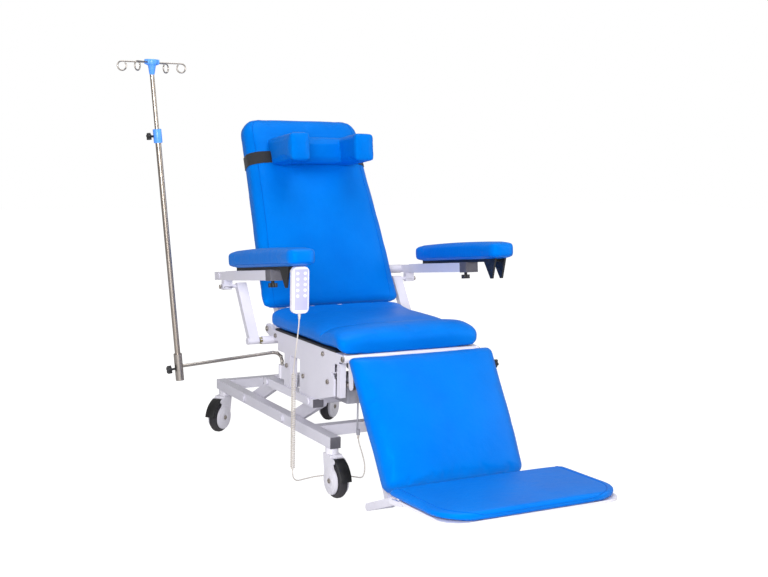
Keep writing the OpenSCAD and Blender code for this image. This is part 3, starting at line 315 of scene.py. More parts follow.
def cord_rubber():
    f = Finish("cord_rubber")
    skin = f.noise(420, 3, 0.6)
    colour = f.blend(f.noise(20, 4), rgb(196, 188, 182), rgb(222, 216, 210))
    return f.wear(colour, 0.42 + skin * 0.14, f.bump(skin, 0.00015, 0.5))


def lining():
    f = Finish("black_lining")
    felt = f.noise(900, 4, 0.75)
    return f.wear(f.blend(felt, rgb(20, 20, 22), rgb(46, 46, 50)), 0.85 + felt * 0.1,
                  f.bump(felt, 0.0005, 0.8))


VINYL = blue_vinyl()
PIPING = vinyl_piping()
PAINT = white_paint()
PLATE = white_plastic("white_moulding", rgb(216, 213, 224), rgb(230, 228, 236), 0.3)
SHELL = white_plastic("handset_shell", rgb(226, 224, 234), rgb(240, 239, 246), 0.24)
FACE = white_plastic("handset_face", rgb(178, 176, 214), rgb(198, 196, 228), 0.4)
KEY = white_plastic("handset_key", rgb(226, 224, 240), rgb(240, 238, 250), 0.45)
PLUG = dark_plastic("grey_plug", rgb(88, 86, 94), rgb(112, 110, 118), 0.5)
BLACK = dark_plastic("black_moulding", rgb(16, 16, 18), rgb(44, 44, 48), 0.36)
BOX = dark_plastic("grey_box", rgb(150, 149, 160), rgb(172, 171, 182), 0.45)
MOTOR = dark_plastic("motor_housing", rgb(112, 112, 120), rgb(136, 136, 144), 0.4)
TYRE = tyre_rubber()
STEEL = satin_steel("satin_steel")
POLE_STEEL = satin_steel("pole_steel", (0, 5.3, 0), 1.0)
BRASS = olive_brass()
POLE_BLUE = light_blue_plastic()
WEBBING = black_webbing()
CORD = cord_rubber()
LINING = lining()

BY_SLOT = {
    "vinyl": VINYL, "paint": PAINT, "plate": PLATE, "plug_grey": PLUG, "tyre": TYRE, "black": BLACK,
    "webbing": WEBBING, "steel": STEEL, "pole_blue": POLE_BLUE, "motor": MOTOR, "box_grey": BOX,
    "handset": SHELL, "key": KEY, "cable": CORD,
}


def dress(piece, finish):
    if len(piece.material_slots) == 0:
        piece.data.materials.append(finish)
    for held in piece.material_slots:
        held.material = finish


for entry in frame["record"]["subparts"]:
    dress(nodes[entry["node"]], BY_SLOT[entry["material_slot"]])
for name in ("iv_pole", "iv_pole_upper"):
    dress(nodes[name], POLE_STEEL)


# Ways of working on a mesh

def clear():
    if bpy.context.object and bpy.context.object.mode != "OBJECT":
        bpy.ops.object.mode_set(mode="OBJECT")
    bpy.ops.object.select_all(action="DESELECT")


def take(piece):
    clear()
    piece.select_set(True)
    bpy.context.view_layer.objects.active = piece


def started(name):
    piece = bpy.context.object
    piece.name = name
    piece.data.name = name
    bpy.ops.object.transform_apply(location=True, rotation=True, scale=True)
    return piece


def pick(piece, test):
    """Selects the faces that pass a test, in edit mode"""
    take(piece)
    bpy.ops.object.mode_set(mode="EDIT")
    bpy.ops.mesh.select_mode(type="FACE")
    bpy.ops.mesh.select_all(action="DESELECT")
    mesh = bmesh.from_edit_mesh(piece.data)
    for face in mesh.faces:
        if test(face):
            face.select = True
    bmesh.update_edit_mesh(piece.data)


def done(piece):
    bpy.ops.object.mode_set(mode="OBJECT")
    return piece


def apply(piece, kind, **settings):
    take(piece)
    modifier = piece.modifiers.new(kind.lower(), kind)
    for key, value in settings.items():
        setattr(modifier, key, value)
    bpy.ops.object.modifier_apply(modifier=modifier.name)
    return piece


def rounded(piece, width, segments=3, angle=35):
    apply(piece, "BEVEL", width=width, segments=segments, limit_method="ANGLE",
          angle_limit=math.radians(angle))
    take(piece)
    bpy.ops.object.shade_smooth_by_angle(angle=math.radians(40))
    return piece


def settle(piece, place, finish, body=None):
    """Puts the place into the mesh, dresses the piece and lets it ride"""
    piece.data.transform(place)
    piece.data.update()
    dress(piece, finish)
    if body:
        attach(piece, body)
    return piece


def copied(piece, name):
    twin = piece.copy()
    twin.data = piece.data.copy()
    twin.name = name
    twin.data.name = name
    scene.collection.objects.link(twin)
    return twin


def drop(piece):
    bpy.data.objects.remove(piece)


# Cords

def bent(a, b, c, d, t):
    """A point between b and c on the smooth curve through a, b, c and d"""
    return 0.5 * (2 * b + (c - a) * t + (2 * a - 5 * b + 4 * c - d) * t * t
                  + (3 * b - a - 3 * c + d) * t ** 3)


def eased(points, steps):
    out = []
    last = len(points) - 1
    for i in range(last):
        before, after = points[max(i - 1, 0)], points[min(i + 2, last)]
        for k in range(steps):
            out.append(bent(before, points[i], points[i + 1], after, k / steps))
    return out + [points[last]]


def long(points):
    return sum((b - a).length for a, b in zip(points, points[1:]))


def tube(name, points, radius, sides, finish, loop=False):
    """A round tube along points in the row's frame, its ends closed"""
    mesh = bmesh.new()
    course = [(points[(i + 1) % len(points) if loop else min(i + 1, len(points) - 1)]
               - points[i - 1 if loop or i else 0]).normalized() for i in range(len(points))]
    side = Vector((0.2, 0.9, 0.31))
    if loop:
        side = sum((a.cross(b) for a, b in zip(points, points[1:] + points[:1])), Vector())
    rings = []
    for point, way in zip(points, course):
        side = (side - way * side.dot(way)).normalized()
        up = way.cross(side)
        rings.append([mesh.verts.new(point + (side * math.cos(2 * math.pi * k / sides)
                                              + up * math.sin(2 * math.pi * k / sides)) * radius)
                      for k in range(sides)])
    pairs = list(zip(rings, rings[1:])) + ([(rings[-1], rings[0])] if loop else [])
    for first, second in pairs:
        for k in range(sides):
            n = (k + 1) % sides
            mesh.faces.new((first[k], first[n], second[n], second[k]))
    if not loop:
        mesh.faces.new(rings[0][::-1])
        mesh.faces.new(rings[-1])
    bmesh.ops.recalc_face_normals(mesh, faces=mesh.faces)
    for face in mesh.faces:
        face.smooth = True
    data = bpy.data.meshes.new(name)
    mesh.to_mesh(data)
    mesh.free()
    piece = bpy.data.objects.new(name, data)
    scene.collection.objects.link(piece)
    dress(piece, finish)
    return piece


def row_points(points):
    return [CHAIR @ Vector(p) for p in points]


CORD_R = 0.00225
COIL_TOP, COIL_FOOT, CURLS = (-382, -1008, 440), (-382, -1008, 86), 54
LEAD = eased(row_points([
    (-403, -1094, 656), (-403, -1094, 646), (-402, -1088, 610), (-399, -1070, 560),
    (-393, -1046, 515), (-386, -1022, 475), (-382, -1008, 450.5), (-382, -1008, 440.5)]), 6)
TAIL = eased(row_points([
    (-382, -1008, 86), (-382, -1008, 76), (-374, -1001, 56), (-352, -985, 41),
    (-312, -962, 36), (-258, -948, 35), (-204, -956, 35), (-164, -984, 36),
    (-139, -1020, 37), (-130, -1048, 42), (-128, -1064, 60), (-130, -1071, 92),
    (-140, -1072, 132), (-152, -1071, 168), (-158, -1070, 196), (-158, -1070, 206)]), 5)


def curls(per_turn=16, radius=6.25, straight=4.5):
    drop_per_turn = (COIL_TOP[2] - COIL_FOOT[2] - 2 * straight) / CURLS
    out = [CHAIR @ Vector(COIL_TOP)]
    for i in range(CURLS * per_turn + 1):
        turns = i / per_turn
        r = radius * min(1, turns, CURLS - turns)
        out.append(CHAIR @ Vector((COIL_TOP[0] + r * math.cos(2 * math.pi * turns),
                                   COIL_TOP[1] + r * math.sin(2 * math.pi * turns),
                                   COIL_TOP[2] - straight - turns * drop_per_turn)))
    return out + [CHAIR @ Vector(COIL_FOOT)]


wound = curls() + TAIL[1:]
lead = tube("cord_lead", LEAD, CORD_R, 12, CORD)
coil = tube("cord_coil_and_tail", wound, CORD_R, 10, CORD)
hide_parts("handset_lead")
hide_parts("handset_coil", "handset_tail")
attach(lead, "pad_left")
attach(coil, "seat")
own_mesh(lead)
long(LEAD)
long(wound)


# Cushions: one closed skin along its length, from named measures

def power(v, e):
    return math.copysign(abs(v) ** e, v)


def drawn_in(s, r):
    return 0 if s >= r else r - math.sqrt(max(0, r * r - (r - s) ** 2))


def along(table, u):
    """A value read from (share, value) pairs, eased round their corners"""
    def plain(x):
        x = min(max(x, table[0][0]), table[-1][0])
        for (a, p), (b, q) in zip(table, table[1:]):
            if x <= b:
                return p + (q - p) * (x - a) / (b - a)
        return table[-1][1]
    return sum(plain(u + (k - 3) * 0.011) for k in range(7)) / 7


LEVEL = ((0, 1), (1, 1))
FLAT = ((0, 0), (1, 0))


class Pad:
    def __init__(self, size, edge, near, far, crown, draw, wide=LEVEL, thick=LEVEL, rise=FLAT,
                 corner=(0.34, 0.42)):
        self.size, self.edge, self.near, self.far = size, edge, near, far
        self.crown, self.draw, self.wide, self.thick, self.rise = crown, draw, wide, thick, rise
        self.corner = corner

    def point(self, u, angle):
        width, l, t = self.size
        s, mid = u * l, 4 * u * (1 - u)
        down = drawn_in(s, self.edge) + drawn_in(l - s, self.edge)
        narrow = drawn_in(s, self.near) + drawn_in(l - s, self.far)
        half = width / 2 * along(self.wide, u) - narrow - self.draw * mid
        thick = t * along(self.thick, u)
        low = t * along(self.rise, u) + down * 0.3
        rise = (thick - down * 1.3) / 2
        cx, cz = power(math.cos(angle), self.corner[0]), power(math.sin(angle), self.corner[1])
        dome = self.crown * mid * (1 - cx * cx) if cz > 0 else 0
        return Vector((half * cx, s, low + rise + rise * cz + dome))

    def skin(self, name, place, rings=56, sides=72):
        mesh = bmesh.new()
        rows = []
        for i in range(rings + 1):
            u = (1 - math.cos(math.pi * i / rings)) / 2
            rows.append([mesh.verts.new(place @ self.point(u, 2 * math.pi * (k + 0.5) / sides))
                         for k in range(sides)])
        for first, second in zip(rows, rows[1:]):
            for k in range(sides):
                n = (k + 1) % sides
                mesh.faces.new((first[k], first[n], second[n], second[k]))
        mesh.faces.new(rows[0][::-1])
        mesh.faces.new(rows[-1])
        bmesh.ops.recalc_face_normals(mesh, faces=mesh.faces)
        for face in mesh.faces:
            face.smooth = True
        data = bpy.data.meshes.new(name)
        mesh.to_mesh(data)
        mesh.free()
        piece = bpy.data.objects.new(name, data)
        scene.collection.objects.link(piece)
        return piece

    def seam_path(self, place, angle, steps=70):
        """A loop round the pad at the height of an angle of its section"""
        shares = [(1 - math.cos(math.pi * i / steps)) / 2 for i in range(steps + 1)]
        right = [self.point(u, angle) for u in shares]
        left = [self.point(u, math.pi - angle) for u in shares]

        def between(a, b):
            return [a.lerp(b, k / 24) for k in range(1, 24)]

        loop = right + between(right[-1], left[-1]) + left[::-1] + between(left[0], right[0])
        return [place @ p for p in loop]


def eased_skin(piece, subdivide):
    if subdivide:
        apply(piece, "SUBSURF", levels=subdivide, render_levels=subdivide)
    take(piece)
    bpy.ops.object.shade_smooth()
    return piece


def puffed(piece, voxel, cap, pressure=4.0, subdivide=0):
    """Stuffs a skin: an even remesh, a short cloth run under pressure, its travel capped"""
    apply(piece, "REMESH", mode="VOXEL", voxel_size=voxel, use_smooth_shade=True)
    if cap == 0:
        return eased_skin(piece, subdivide)
    before = [v.co.copy() for v in piece.data.vertices]
    take(piece)
    cloth = piece.modifiers.new("stuffing", "CLOTH")
    cloth.settings.quality = 3
    cloth.settings.mass = 0.4
    cloth.settings.tension_stiffness = 25
    cloth.settings.compression_stiffness = 25
    cloth.settings.shear_stiffness = 12
    cloth.settings.bending_stiffness = 1.2
    cloth.settings.use_pressure = True
    cloth.settings.uniform_pressure_force = pressure
    cloth.settings.effector_weights.gravity = 0
    cloth.point_cache.frame_start = 1
    cloth.point_cache.frame_end = 20
    for step in range(1, 21):
        scene.frame_set(step)
    bpy.ops.object.modifier_apply(modifier=cloth.name)
    scene.frame_set(1)
    for vertex, start in zip(piece.data.vertices, before):
        moved = vertex.co - start
        if moved.length > cap:
            vertex.co = start + moved.normalized() * cap
    return eased_skin(piece, subdivide)


def channel(piece, point, normal, way, depth, width, reach):
    """Draws a sewn channel in: vertices near a plane go in along the way, if they face it"""
    for vertex in piece.data.vertices:
        off = (vertex.co - point).dot(normal)
        if abs(off) < 3 * width and (vertex.co - point).dot(way) > -reach:
            facing = max(0, vertex.normal.dot(way))
            vertex.co -= way * depth * facing * math.exp(-(off / width) ** 2)
    piece.data.update()


def snapped(piece, points, out=0.0):
    mesh = bmesh.new()
    mesh.from_mesh(piece.data)
    tree = BVHTree.FromBMesh(mesh)
    mesh.free()
    found = []
    for point in points:
        spot, normal, _, _ = tree.find_nearest(point)
        found.append(spot + normal * out)
    for _ in range(3):
        found = [(found[i - 1] + found[i] * 2 + found[(i + 1) % len(found)]) / 4
                 for i in range(len(found))]
    return found


def welted(piece, pad, place, angles, body, radius=0.0016):
    for k, angle in enumerate(angles):
        line = snapped(piece, pad.seam_path(place, math.radians(angle)), 0.0)
        even = [p for i, p in enumerate(line) if (p - line[i - 1]).length > 0.0004]
        welt = tube(f"{piece.name}_welt_{k + 1}", even, radius, 8, PIPING, loop=True)
        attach(welt, body)


def lined(piece, way, low, high):
    """The side that rests on the frame is closed with black lining"""
    piece.data.materials.append(LINING)
    for polygon in piece.data.polygons:
        inside = all(a < c < b for a, c, b in zip(low, polygon.center, high))
        if inside and polygon.normal.dot(way) > 0.93:
            polygon.material_index = len(piece.data.materials) - 1


def cushioned(name, pad, place, node, body, voxel, cap, welts=(), pressure=4.0, subdivide=0):
    piece = pad.skin(name, place)
    puffed(piece, voxel, cap, pressure, subdivide)
    dress(piece, VINYL)
    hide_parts(node)
    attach(piece, body)
    welted(piece, pad, place, welts, body)
    return piece


BACK_PAD = Pad((602, 800, 82), 20, 24, 62, 13, 2,
               wide=((0, 0.985), (0.04, 1), (0.25, 0.97), (0.5, 0.925), (0.75, 0.885), (1, 0.865)),
               thick=((0, 0.36), (0.12, 0.54), (0.25, 0.78), (0.4, 0.96), (0.55, 1.02), (0.8, 0.96),
                      (1, 0.9)),
               rise=tuple((u / 20, 19 / 82 * (u / 10 - 1) ** 2) for u in range(21)))
BACK_AT = BACK @ shift(0, -21, 60) @ turn(90, "X")
back = cushioned("back_pad", BACK_PAD, BACK_AT, "back_cushion", "back", 0.009, 0.007, (52, -40),
                subdivide=1)

SEAT_PAD = Pad((574, 604, 56), 20, 16, 34, 16, 3,
               thick=((0, 1.34), (0.05, 1.32), (0.12, 1.16), (0.24, 1.0), (0.62, 0.98), (0.69, 0.9),
                      (0.71, 0.84), (0.75, 1.0), (0.85, 1.24), (0.953, 1.12), (1, 1.1)),
               rise=((0, 0), (0.95, 0), (0.98, -0.26), (1, -0.3)))
SEAT_AT = CHAIR @ shift(0, -567, 522.4) @ turn(180, "Z")
seat = cushioned("seat_pad", SEAT_PAD, SEAT_AT, "seat_cushion", "seat", 0.008, 0.007, (-38,),
                subdivide=1)
channel(seat, CHAIR @ Vector((0, -1001, 590)), Vector((0, 1, 0)), Vector((0, 0, 1)), 0.006, 0.007, 0.05)

LEG_PAD = Pad((574, 474, 94), 28, 16, 34, 16, 1, wide=((0, 1), (0.5, 0.98), (1, 0.94)),
              thick=((0, 0.64), (0.3, 0.82), (0.7, 1.04), (1, 1.06)), corner=(0.42, 0.56))
LEG_AT = LEG @ shift(-6, -15, 39.5) @ turn(180, "Z")
leg = cushioned("leg_pad", LEG_PAD, LEG_AT, "leg_cushion", "leg", 0.008, 0.007, (-38,),
                subdivide=1)

FOOT_PAD = Pad((664, 342, 28), 12, 12, 116, 4, 0)
FOOT_AT = FOOT @ shift(0, -2, 9.4) @ turn(180, "Z")
cushioned("foot_pad", FOOT_PAD, FOOT_AT, "foot_cushion", "foot", 0.0065, 0, (40, -40),
          subdivide=1)

ARM_PAD = Pad((104, 583, 53), 20, 28, 34, 7, 1)
for label, side in (("left", -1), ("right", 1)):
    place = arm(side) @ shift(0, -170.5, 33.2) @ turn(180, "Z")
    cushioned(f"arm_pad_{label}_cover", ARM_PAD, place, f"arm_pad_{label}", f"pad_{label}",
              0.0065, 0.004, (-40,), subdivide=1)


def pillow():
    """Two side blocks and the band that joins them, one soft piece"""
    at = CHAIR @ shift(6, -243, 1116) @ turn(-8, "X")
    block = Pad((80, 272, 106), 7, 4, 6, 3, 0, corner=(0.2, 0.22))
    band = Pad((134, 282, 104), 10, 4, 4, 4, 1)
    parts = [
        block.skin("pillow_block_l", at @ shift(-141, -3, 3) @ turn(180, "Z"), 40, 48),
        block.skin("pillow_block_r", at @ shift(141, -3, 3) @ turn(180, "Z"), 40, 48),
        band.skin("pillow_band", at @ shift(141, -70, 3) @ turn(90, "Z"), 30, 48),
    ]
    clear()
    for part in parts:
        part.select_set(True)
    bpy.context.view_layer.objects.active = parts[0]
    bpy.ops.object.join()
    piece = bpy.context.object
    piece.name = "head_pillow"
    piece.data.name = "head_pillow"
    plane = BACK @ Vector((0, -121.5, 628))
    out = (BACK.to_3x3() @ Vector((0, -1, 0))).normalized()
    take(piece)
    apply(piece, "REMESH", mode="VOXEL", voxel_size=0.004, use_smooth_shade=True)
    mesh = bmesh.new()
    mesh.from_mesh(piece.data)
    cut = bmesh.ops.bisect_plane(mesh, geom=mesh.verts[:] + mesh.edges[:] + mesh.faces[:],
                                 plane_co=plane, plane_no=out, clear_inner=True)
    rim = [e for e in cut["geom_cut"] if isinstance(e, bmesh.types.BMEdge)]
    bmesh.ops.contextual_create(mesh, geom=rim)
    bmesh.ops.triangulate(mesh, faces=[f for f in mesh.faces if len(f.verts) > 4])
    mesh.to_mesh(piece.data)
    mesh.free()
    puffed(piece, 0.0045, 0.004, 5.0)
    dress(piece, VINYL)
    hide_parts("neck_pillow")
    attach(piece, "back")
    return piece, block, at


head_pillow, pillow_block, pillow_at = pillow()
WELT_SHARE = 0.94
for label, side in (("l1", -1), ("r1", 1)):
    spot = pillow_at @ shift(141 * side, -3, 3) @ turn(180, "Z")
    ring = [spot @ pillow_block.point(WELT_SHARE, 2 * math.pi * (i + 0.5) / 60) for i in range(60)]
    line = snapped(head_pillow, ring)
    welt = tube(f"head_pillow_welt_{label}", line, 0.0014, 8, PIPING, loop=True)
    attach(welt, "back")

for soft, way in ((back, (BACK.to_3x3() @ Vector((0, 1, 0))).normalized()),
                  (leg, (LEG.to_3x3() @ Vector((0, 0, -1))).normalized())):
    low, high = (Vector(c) for c in (soft.bound_box[0], soft.bound_box[6]))
    lined(soft, way, low + Vector((0.03, -1, 0.035)), high + Vector((-0.03, 1, -0.035)))


def head_strap():
    """Elastic webbing stretched round the back pad under the pillow"""
    mesh = bmesh.new()
    rows = []
    for j in range(7):
        u = (652 + 50 * j / 6 - 60) / BACK_PAD.size[1]
        ring = [BACK_AT @ BACK_PAD.point(u, 2 * math.pi * (i + 0.5) / 160) for i in range(160)]
        ring = snapped(back, ring, 0.0012)
        rows.append([mesh.verts.new(p) for p in ring])
    for first, second in zip(rows, rows[1:]):
        for k in range(160):
            n = (k + 1) % 160
            mesh.faces.new((first[k], first[n], second[n], second[k]))
    bmesh.ops.recalc_face_normals(mesh, faces=mesh.faces)
    data = bpy.data.meshes.new("head_band")
    mesh.to_mesh(data)
    mesh.free()
    piece = bpy.data.objects.new("head_band", data)
    scene.collection.objects.link(piece)
    centre = sum((v.co for v in data.vertices), Vector()) / len(data.vertices)
    if sum(p.normal.dot(p.center - centre) for p in data.polygons) < 0:
        take(piece)
        bpy.ops.object.mode_set(mode="EDIT")
        bpy.ops.mesh.select_all(action="SELECT")
        bpy.ops.mesh.flip_normals()
        bpy.ops.object.mode_set(mode="OBJECT")
    apply(piece, "SOLIDIFY", thickness=0.0018, offset=1.0)
    take(piece)
    bpy.ops.object.shade_smooth_by_angle(angle=math.radians(50))
    dress(piece, WEBBING)
    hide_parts("head_strap")
    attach(piece, "back")


head_strap()


# Hard pieces

def bolt(d, h, socket=0.45):
    """A domed bolt head with a round socket, standing on z = 0"""
    clear()
    bpy.ops.mesh.primitive_cylinder_add(vertices=32, radius=d / 2, depth=h, location=(0, 0, h / 2))
    piece = started("bolt")
    pick(piece, lambda f: f.normal.z > 0.9)
    bpy.ops.mesh.inset(thickness=d / 2 * (1 - socket), depth=0)
    bpy.ops.mesh.extrude_region_move(TRANSFORM_OT_translate={"value": (0, 0, -h * 0.55)})
    done(piece)
    return rounded(piece, h * 0.22, 2)


def at_x(side):
    """Turns a piece that stands on z = 0 so that it stands out along X"""
    return turn(90 * side, "Y")


def bolts(name, places, d, h, finish, body):
    model = bolt(d, h)
    made = []
    for place in places:
        twin = copied(model, name)
        twin.data.transform(place)
        made.append(twin)
    drop(model)
    clear()
    for twin in made:
        twin.select_set(True)
    bpy.context.view_layer.objects.active = made[0]
    bpy.ops.object.join()
    piece = bpy.context.object
    piece.name = name
    piece.data.name = name
    return settle(piece, CHAIR, finish, body)


FRAME_SIDE, ARM_SIDE = 270.2, 428.5


def on_sides(out, spots):
    return [shift(s * out, y, z) @ at_x(s) for s in (-1, 1) for y, z in spots]


bolts("seat_frame_bolts",
      on_sides(FRAME_SIDE, ((-705, 398), (-1050, 402), (-850, 385), (-598, 494), (-1010, 494))),
      17, 6, STEEL, "seat")
bolts("arm_joint_bolts", on_sides(ARM_SIDE, ((-430, 667.2),)), 16, 5, STEEL, "posts")
bolts("hinge_bolts", on_sides(FRAME_SIDE, ((-518, 509.2), (-1165, 500.2))),
      20, 6, STEEL, "seat")


def side_cover():
    """The stepped white disc on a caster's side, facing +Z"""
    clear()
    disc = 0.0024
    bpy.ops.mesh.primitive_cylinder_add(vertices=72, radius=0.0478, depth=disc,
                                        location=(0, 0, disc / 2))
    piece = started("side_cover")
    for rim, lift in ((0.006, 0.0012), (0.012, 0.0012), (0.015, -0.0012)):
        pick(piece, lambda f: f.normal.z > 0.9 and len(f.verts) > 8)
        bpy.ops.mesh.inset(thickness=rim, depth=0)
        bpy.ops.mesh.extrude_region_move(TRANSFORM_OT_translate={"value": (0, 0, lift)})
        bpy.ops.transform.resize(value=(0.96, 0.96, 1))
        done(piece)
    return rounded(piece, 0.0006, 2, 25)


def caster_trim():
    cover, hub = side_cover(), bolt(0.018, 0.006)
    for label, place in CASTERS.items():
        for hand, side in (("in", 1), ("out", -1)):
            spot = place @ shift(side * 24, -38, 62.5) @ at_x(side) @ Matrix.Scale(1000, 4)
            disc = copied(cover, f"caster_{label}_cover_{hand}")
            settle(disc, spot, PLATE, f"caster_{label}")
            lift = place @ shift(side * 25.6, -38, 62.5) @ at_x(side) @ Matrix.Scale(1000, 4)
            axle = copied(hub, f"caster_{label}_axle_{hand}")
            settle(axle, lift, STEEL, f"caster_{label}")
    drop(cover)
    drop(hub)


caster_trim()


def nuts():
    """Hexagon nuts, each with a raised face, inside the arm posts"""
    for label, side in (("left", -1), ("right", 1)):
        clear()
        thick = 0.0094
        bpy.ops.mesh.primitive_cylinder_add(vertices=6, radius=0.0138, depth=thick,
                                            location=(0, 0, thick / 2))
        piece = started(f"post_nut_{label}")
        pick(piece, lambda f: f.normal.z > 0.9)
        bpy.ops.mesh.inset(thickness=0.005, depth=0)
        bpy.ops.mesh.extrude_region_move(TRANSFORM_OT_translate={"value": (0, 0, 0.0012)})
        done(piece)
        rounded(piece, 0.0008, 2)
        settle(piece, CHAIR @ shift(side * 312.4, -560, 472.2) @ at_x(side) @ Matrix.Scale(1000, 4),
               BRASS, "seat")


nuts()


def handset():
    """The hand control: a rounded shell, a set-in face and its hook"""
    clear()
    bpy.ops.mesh.primitive_cube_add(size=1, location=(0, 0, 0))
    piece = started("handset_shell")
    piece.data.transform(Matrix.Diagonal((0.0616, 0.0246, 0.1595, 1)))
    take(piece)
    bpy.ops.object.mode_set(mode="EDIT")
    bpy.ops.mesh.select_mode(type="EDGE")
    bpy.ops.mesh.select_all(action="DESELECT")
    mesh = bmesh.from_edit_mesh(piece.data)
    for edge in mesh.edges:
        way = (edge.verts[0].co - edge.verts[1].co).normalized()
        edge.select = abs(way.y) > 0.9
    bmesh.update_edit_mesh(piece.data)
    bpy.ops.mesh.bevel(offset=0.018, segments=10, affect="EDGES")
    done(piece)
    rounded(piece, 0.0042, 4, 50)
    settle(piece, CHAIR @ shift(-403, -1094, 736) @ Matrix.Scale(1000, 4), SHELL, "pad_left")
    clear()
    bpy.ops.mesh.primitive_cube_add(size=1, location=(0, 0, 0))
    face = started("handset_face")
    face.data.transform(Matrix.Diagonal((0.048, 0.0012, 0.138, 1)))
    rounded(face, 0.0005, 2)
    settle(face, CHAIR @ shift(-403, -1106.55, 738) @ Matrix.Scale(1000, 4), FACE, "pad_left")
    clear()
    bpy.ops.mesh.primitive_cube_add(size=1, location=(0, 0, 0))
    hook = started("handset_hook")
    hook.data.transform(Matrix.Diagonal((0.0325, 0.044, 0.0076, 1)))
    rounded(hook, 0.0018, 3)
    settle(hook, CHAIR @ shift(-403, -1059.8, 794) @ Matrix.Scale(1000, 4), SHELL, "pad_left")
    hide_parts("handset")


handset()


def arm_caps():
    """Dark end caps with a set-in face over the front of the arm tubes"""
    for label, side in (("left", -1), ("right", 1)):
        clear()
        bpy.ops.mesh.primitive_cube_add(size=1, location=(0, 0, 0))
        cap = started(f"arm_cap_{label}")
        cap.data.transform(Matrix.Diagonal((0.054, 0.046, 0.0395, 1)))
        pick(cap, lambda f: f.normal.y < -0.9)
        bpy.ops.mesh.inset(thickness=0.005, depth=0)
        bpy.ops.mesh.extrude_region_move(TRANSFORM_OT_translate={"value": (0, 0.0015, 0)})
        done(cap)
        rounded(cap, 0.003, 3)
        settle(cap, arm(side) @ shift(0, -503.5, 0) @ Matrix.Scale(1000, 4), PLUG, "arms")


arm_caps()


def sleeve(name, place, wide, narrow, length, body):
    """A tapered, ribbed strain relief that grows along +Z from its root"""
    clear()
    bpy.ops.mesh.primitive_circle_add(vertices=24, radius=wide, fill_type="NGON")
    piece = started(name)
    ribs = 7
    pick(piece, lambda f: True)
    for k in range(ribs):
        r0 = wide + (narrow - wide) * k / ribs
        r1 = wide + (narrow - wide) * (k + 1) / ribs
        for share, size in ((0.55, 1.0), (0.0, (r1 / r0) * 0.86), (0.45, 1.0), (0.0, 1 / 0.86)):
            step = {"value": (0, 0, length / ribs * share)}
            bpy.ops.mesh.extrude_region_move(TRANSFORM_OT_translate=step)
            bpy.ops.transform.resize(value=(size, size, 1))
    bpy.ops.mesh.select_all(action="SELECT")
    bpy.ops.mesh.remove_doubles(threshold=0.00001)
    bpy.ops.mesh.normals_make_consistent(inside=False)
    done(piece)
    take(piece)
    bpy.ops.object.shade_smooth_by_angle(angle=math.radians(35))
    return settle(piece, place, CORD, body)


sleeve("handset_strain_relief", CHAIR @ shift(-403, -1094, 657) @ turn(180, "X") @ Matrix.Scale(1000, 4),
       0.0058, 0.0032, 0.022, "pad_left")
sleeve("plug_strain_relief", CHAIR @ shift(-158, -1070, 208) @ turn(180, "X") @ Matrix.Scale(1000, 4),
       0.0056, 0.0032, 0.016, "seat")


HOOKS = (0, 38, 180, 218)


def pole_head():
    """The light blue cone and lobed crown on the bag pole, and its four wire hooks"""
    low, high = (Vector(c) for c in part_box("iv_hook_head"))
    foot = Vector(((low.x + high.x) / 2, (low.y + high.y) / 2, low.z))
    mesh = bmesh.new()
    rows = []
    for radius, z, lobe in ((8.5, 0, 0), (9, 1.5, 0), (13.5, 29, 0), (14.5, 31, 0), (19, 32.5, 0.5),
                            (25, 35, 1), (26.5, 37, 1), (26.5, 49, 1), (25, 51.5, 1), (17, 52, 0.8),
                            (15.5, 51, 0.4), (9, 50, 0), (8.2, 48, 0), (8, 40, 0)):
        row = []
        for k in range(96):
            turned = 360 * k / 96
            near = min(abs((turned - hook + 180) % 360 - 180) for hook in HOOKS)
            r = radius * (1 - lobe * 0.24 * (1 - math.exp(-(near / 17) ** 4)))
            angle = math.radians(turned)
            spot = Vector((r * math.cos(angle), r * math.sin(angle), z)) / 1000
            row.append(mesh.verts.new(foot + spot))
        rows.append(row)
    for first, second in zip(rows, rows[1:]):
        for k in range(96):
            n = (k + 1) % 96
            mesh.faces.new((first[k], first[n], second[n], second[k]))
    mesh.faces.new(rows[0][::-1])
    mesh.faces.new(rows[-1])
    bmesh.ops.recalc_face_normals(mesh, faces=mesh.faces)
    data = bpy.data.meshes.new("pole_crown")
    mesh.to_mesh(data)
    mesh.free()
    crown = bpy.data.objects.new("pole_crown", data)
    scene.collection.objects.link(crown)
    take(crown)
    bpy.ops.object.shade_smooth_by_angle(angle=math.radians(40))
    dress(crown, POLE_BLUE)
    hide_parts("iv_hook_head")
    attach(crown, "iv_upper")
    for k, hook in enumerate(HOOKS):
        reach = 106 if k % 2 == 0 else 86
        flat = [(x, 0) for x in (20, 30, 45, 60, 0.86 * reach, reach - 4)]
        flat += [(reach + 15.5 * math.sin(math.radians(a)), -15.5 + 15.5 * math.cos(math.radians(a)))
                 for a in range(0, 330, 15)]
        angle = math.radians(hook)
        line = [foot + Vector((x * math.cos(angle), x * math.sin(angle), 41 + z)) / 1000
                for x, z in flat]
        wire = tube(f"pole_hook_{k + 1}", line, 0.0025, 12, STEEL)
        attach(wire, "iv_upper")


pole_head()


# Sharp CAD edges get a small round, which lives in modifiers and leaves the mesh alone

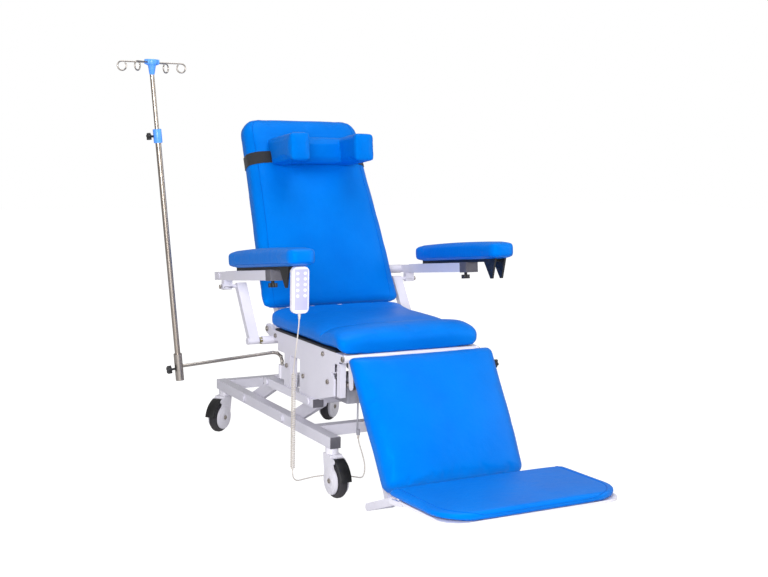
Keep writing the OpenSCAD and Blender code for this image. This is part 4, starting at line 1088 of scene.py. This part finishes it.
ROUNDED = {
    "base_frame": 1.6, "base_plugs": 1.2, "lift_frame": 1.4, "lift_plugs": 1.0, "lift_arm_rear": 2.0,
    "lift_arm_front": 2.0, "seat_frame": 1.2, "control_box": 2.0, "back_frame": 1.4, "leg_frame": 1.4,
    "foot_arms": 1.2, "foot_board": 1.5, "arm_tubes": 1.6, "arm_posts": 3.0, "arm_rail_left": 1.2,
    "arm_rail_right": 1.2, "leg_motor": 2.0, "lift_motor": 1.5, "back_motor": 1.5, "seat_board": 1.0,
    "leg_knob": 1.5, "arm_knob_left": 1.5, "arm_knob_right": 1.5, "iv_rod_knob": 1.5,
    "iv_socket_knob": 1.5,
    "iv_collar_knob": 1.2, "iv_collar": 1.5,
}
for label in CASTERS:
    ROUNDED[f"caster_{label}_housing"] = 2.2
    ROUNDED[f"caster_{label}_pedal"] = 2.0
    ROUNDED[f"caster_{label}_wheel"] = 0.8
for name, width in ROUNDED.items():
    node = nodes[name]
    weld = node.modifiers.new("weld", "WELD")
    weld.merge_threshold = 0.00002
    ease = node.modifiers.new("ease", "BEVEL")
    ease.width = width / 1000
    ease.segments = 2
    ease.limit_method = "ANGLE"
    ease.angle_limit = math.radians(35)


# Studio

def studio():
    clear()
    bpy.ops.mesh.primitive_plane_add(size=30, location=(0, 0, -0.0005))
    floor = bpy.context.object
    floor.name = "studio_floor"
    f = Finish("studio_floor")
    tree = f.tree
    seen = f.node("LightPath", out="Is Camera Ray")
    glow = tree.nodes.new("ShaderNodeEmission")
    glow.inputs["Strength"].default_value = 1.4
    matt = tree.nodes.new("ShaderNodeBsdfDiffuse")
    matt.inputs["Color"].default_value = (0.72, 0.72, 0.73, 1)
    both = tree.nodes.new("ShaderNodeMixShader")
    f.feed(both.inputs[0], seen * 0.7)
    tree.links.new(matt.outputs[0], both.inputs[1])
    tree.links.new(glow.outputs[0], both.inputs[2])
    tree.links.new(both.outputs[0], tree.nodes["Material Output"].inputs["Surface"])
    floor.data.materials.append(f.material)
    world = bpy.data.worlds.new("studio_air")
    scene.world = world
    world.use_nodes = True
    back_light = world.node_tree.nodes["Background"]
    path = world.node_tree.nodes.new("ShaderNodeLightPath")
    level = world.node_tree.nodes.new("ShaderNodeMapRange")
    level.inputs["To Min"].default_value = 0.42
    level.inputs["To Max"].default_value = 1.0
    world.node_tree.links.new(path.outputs["Is Camera Ray"], level.inputs["Value"])
    world.node_tree.links.new(level.outputs["Result"], back_light.inputs["Strength"])
    back_light.inputs["Color"].default_value = (1, 1, 1, 1)
    for name, spot, aim, size, energy in (
            ("key", (-1.9, -2.9, 1.5), (0.1, -0.2, 0.4), 1.6, 115),
            ("fill", (3.4, -2.2, 2.0), (0.1, 0, 0.6), 2.6, 40),
            ("top", (0.3, -0.6, 4.2), (0.2, 0, 0.6), 2.4, 60)):
        lamp = bpy.data.lights.new(name, "AREA")
        lamp.shape = "DISK"
        lamp.size = size
        lamp.energy = energy
        light = bpy.data.objects.new(name, lamp)
        scene.collection.objects.link(light)
        light.location = spot
        light.rotation_euler = (Vector(aim) - Vector(spot)).to_track_quat("-Z", "Y").to_euler()
    scene.view_settings.view_transform = "Standard"


studio()
clear()
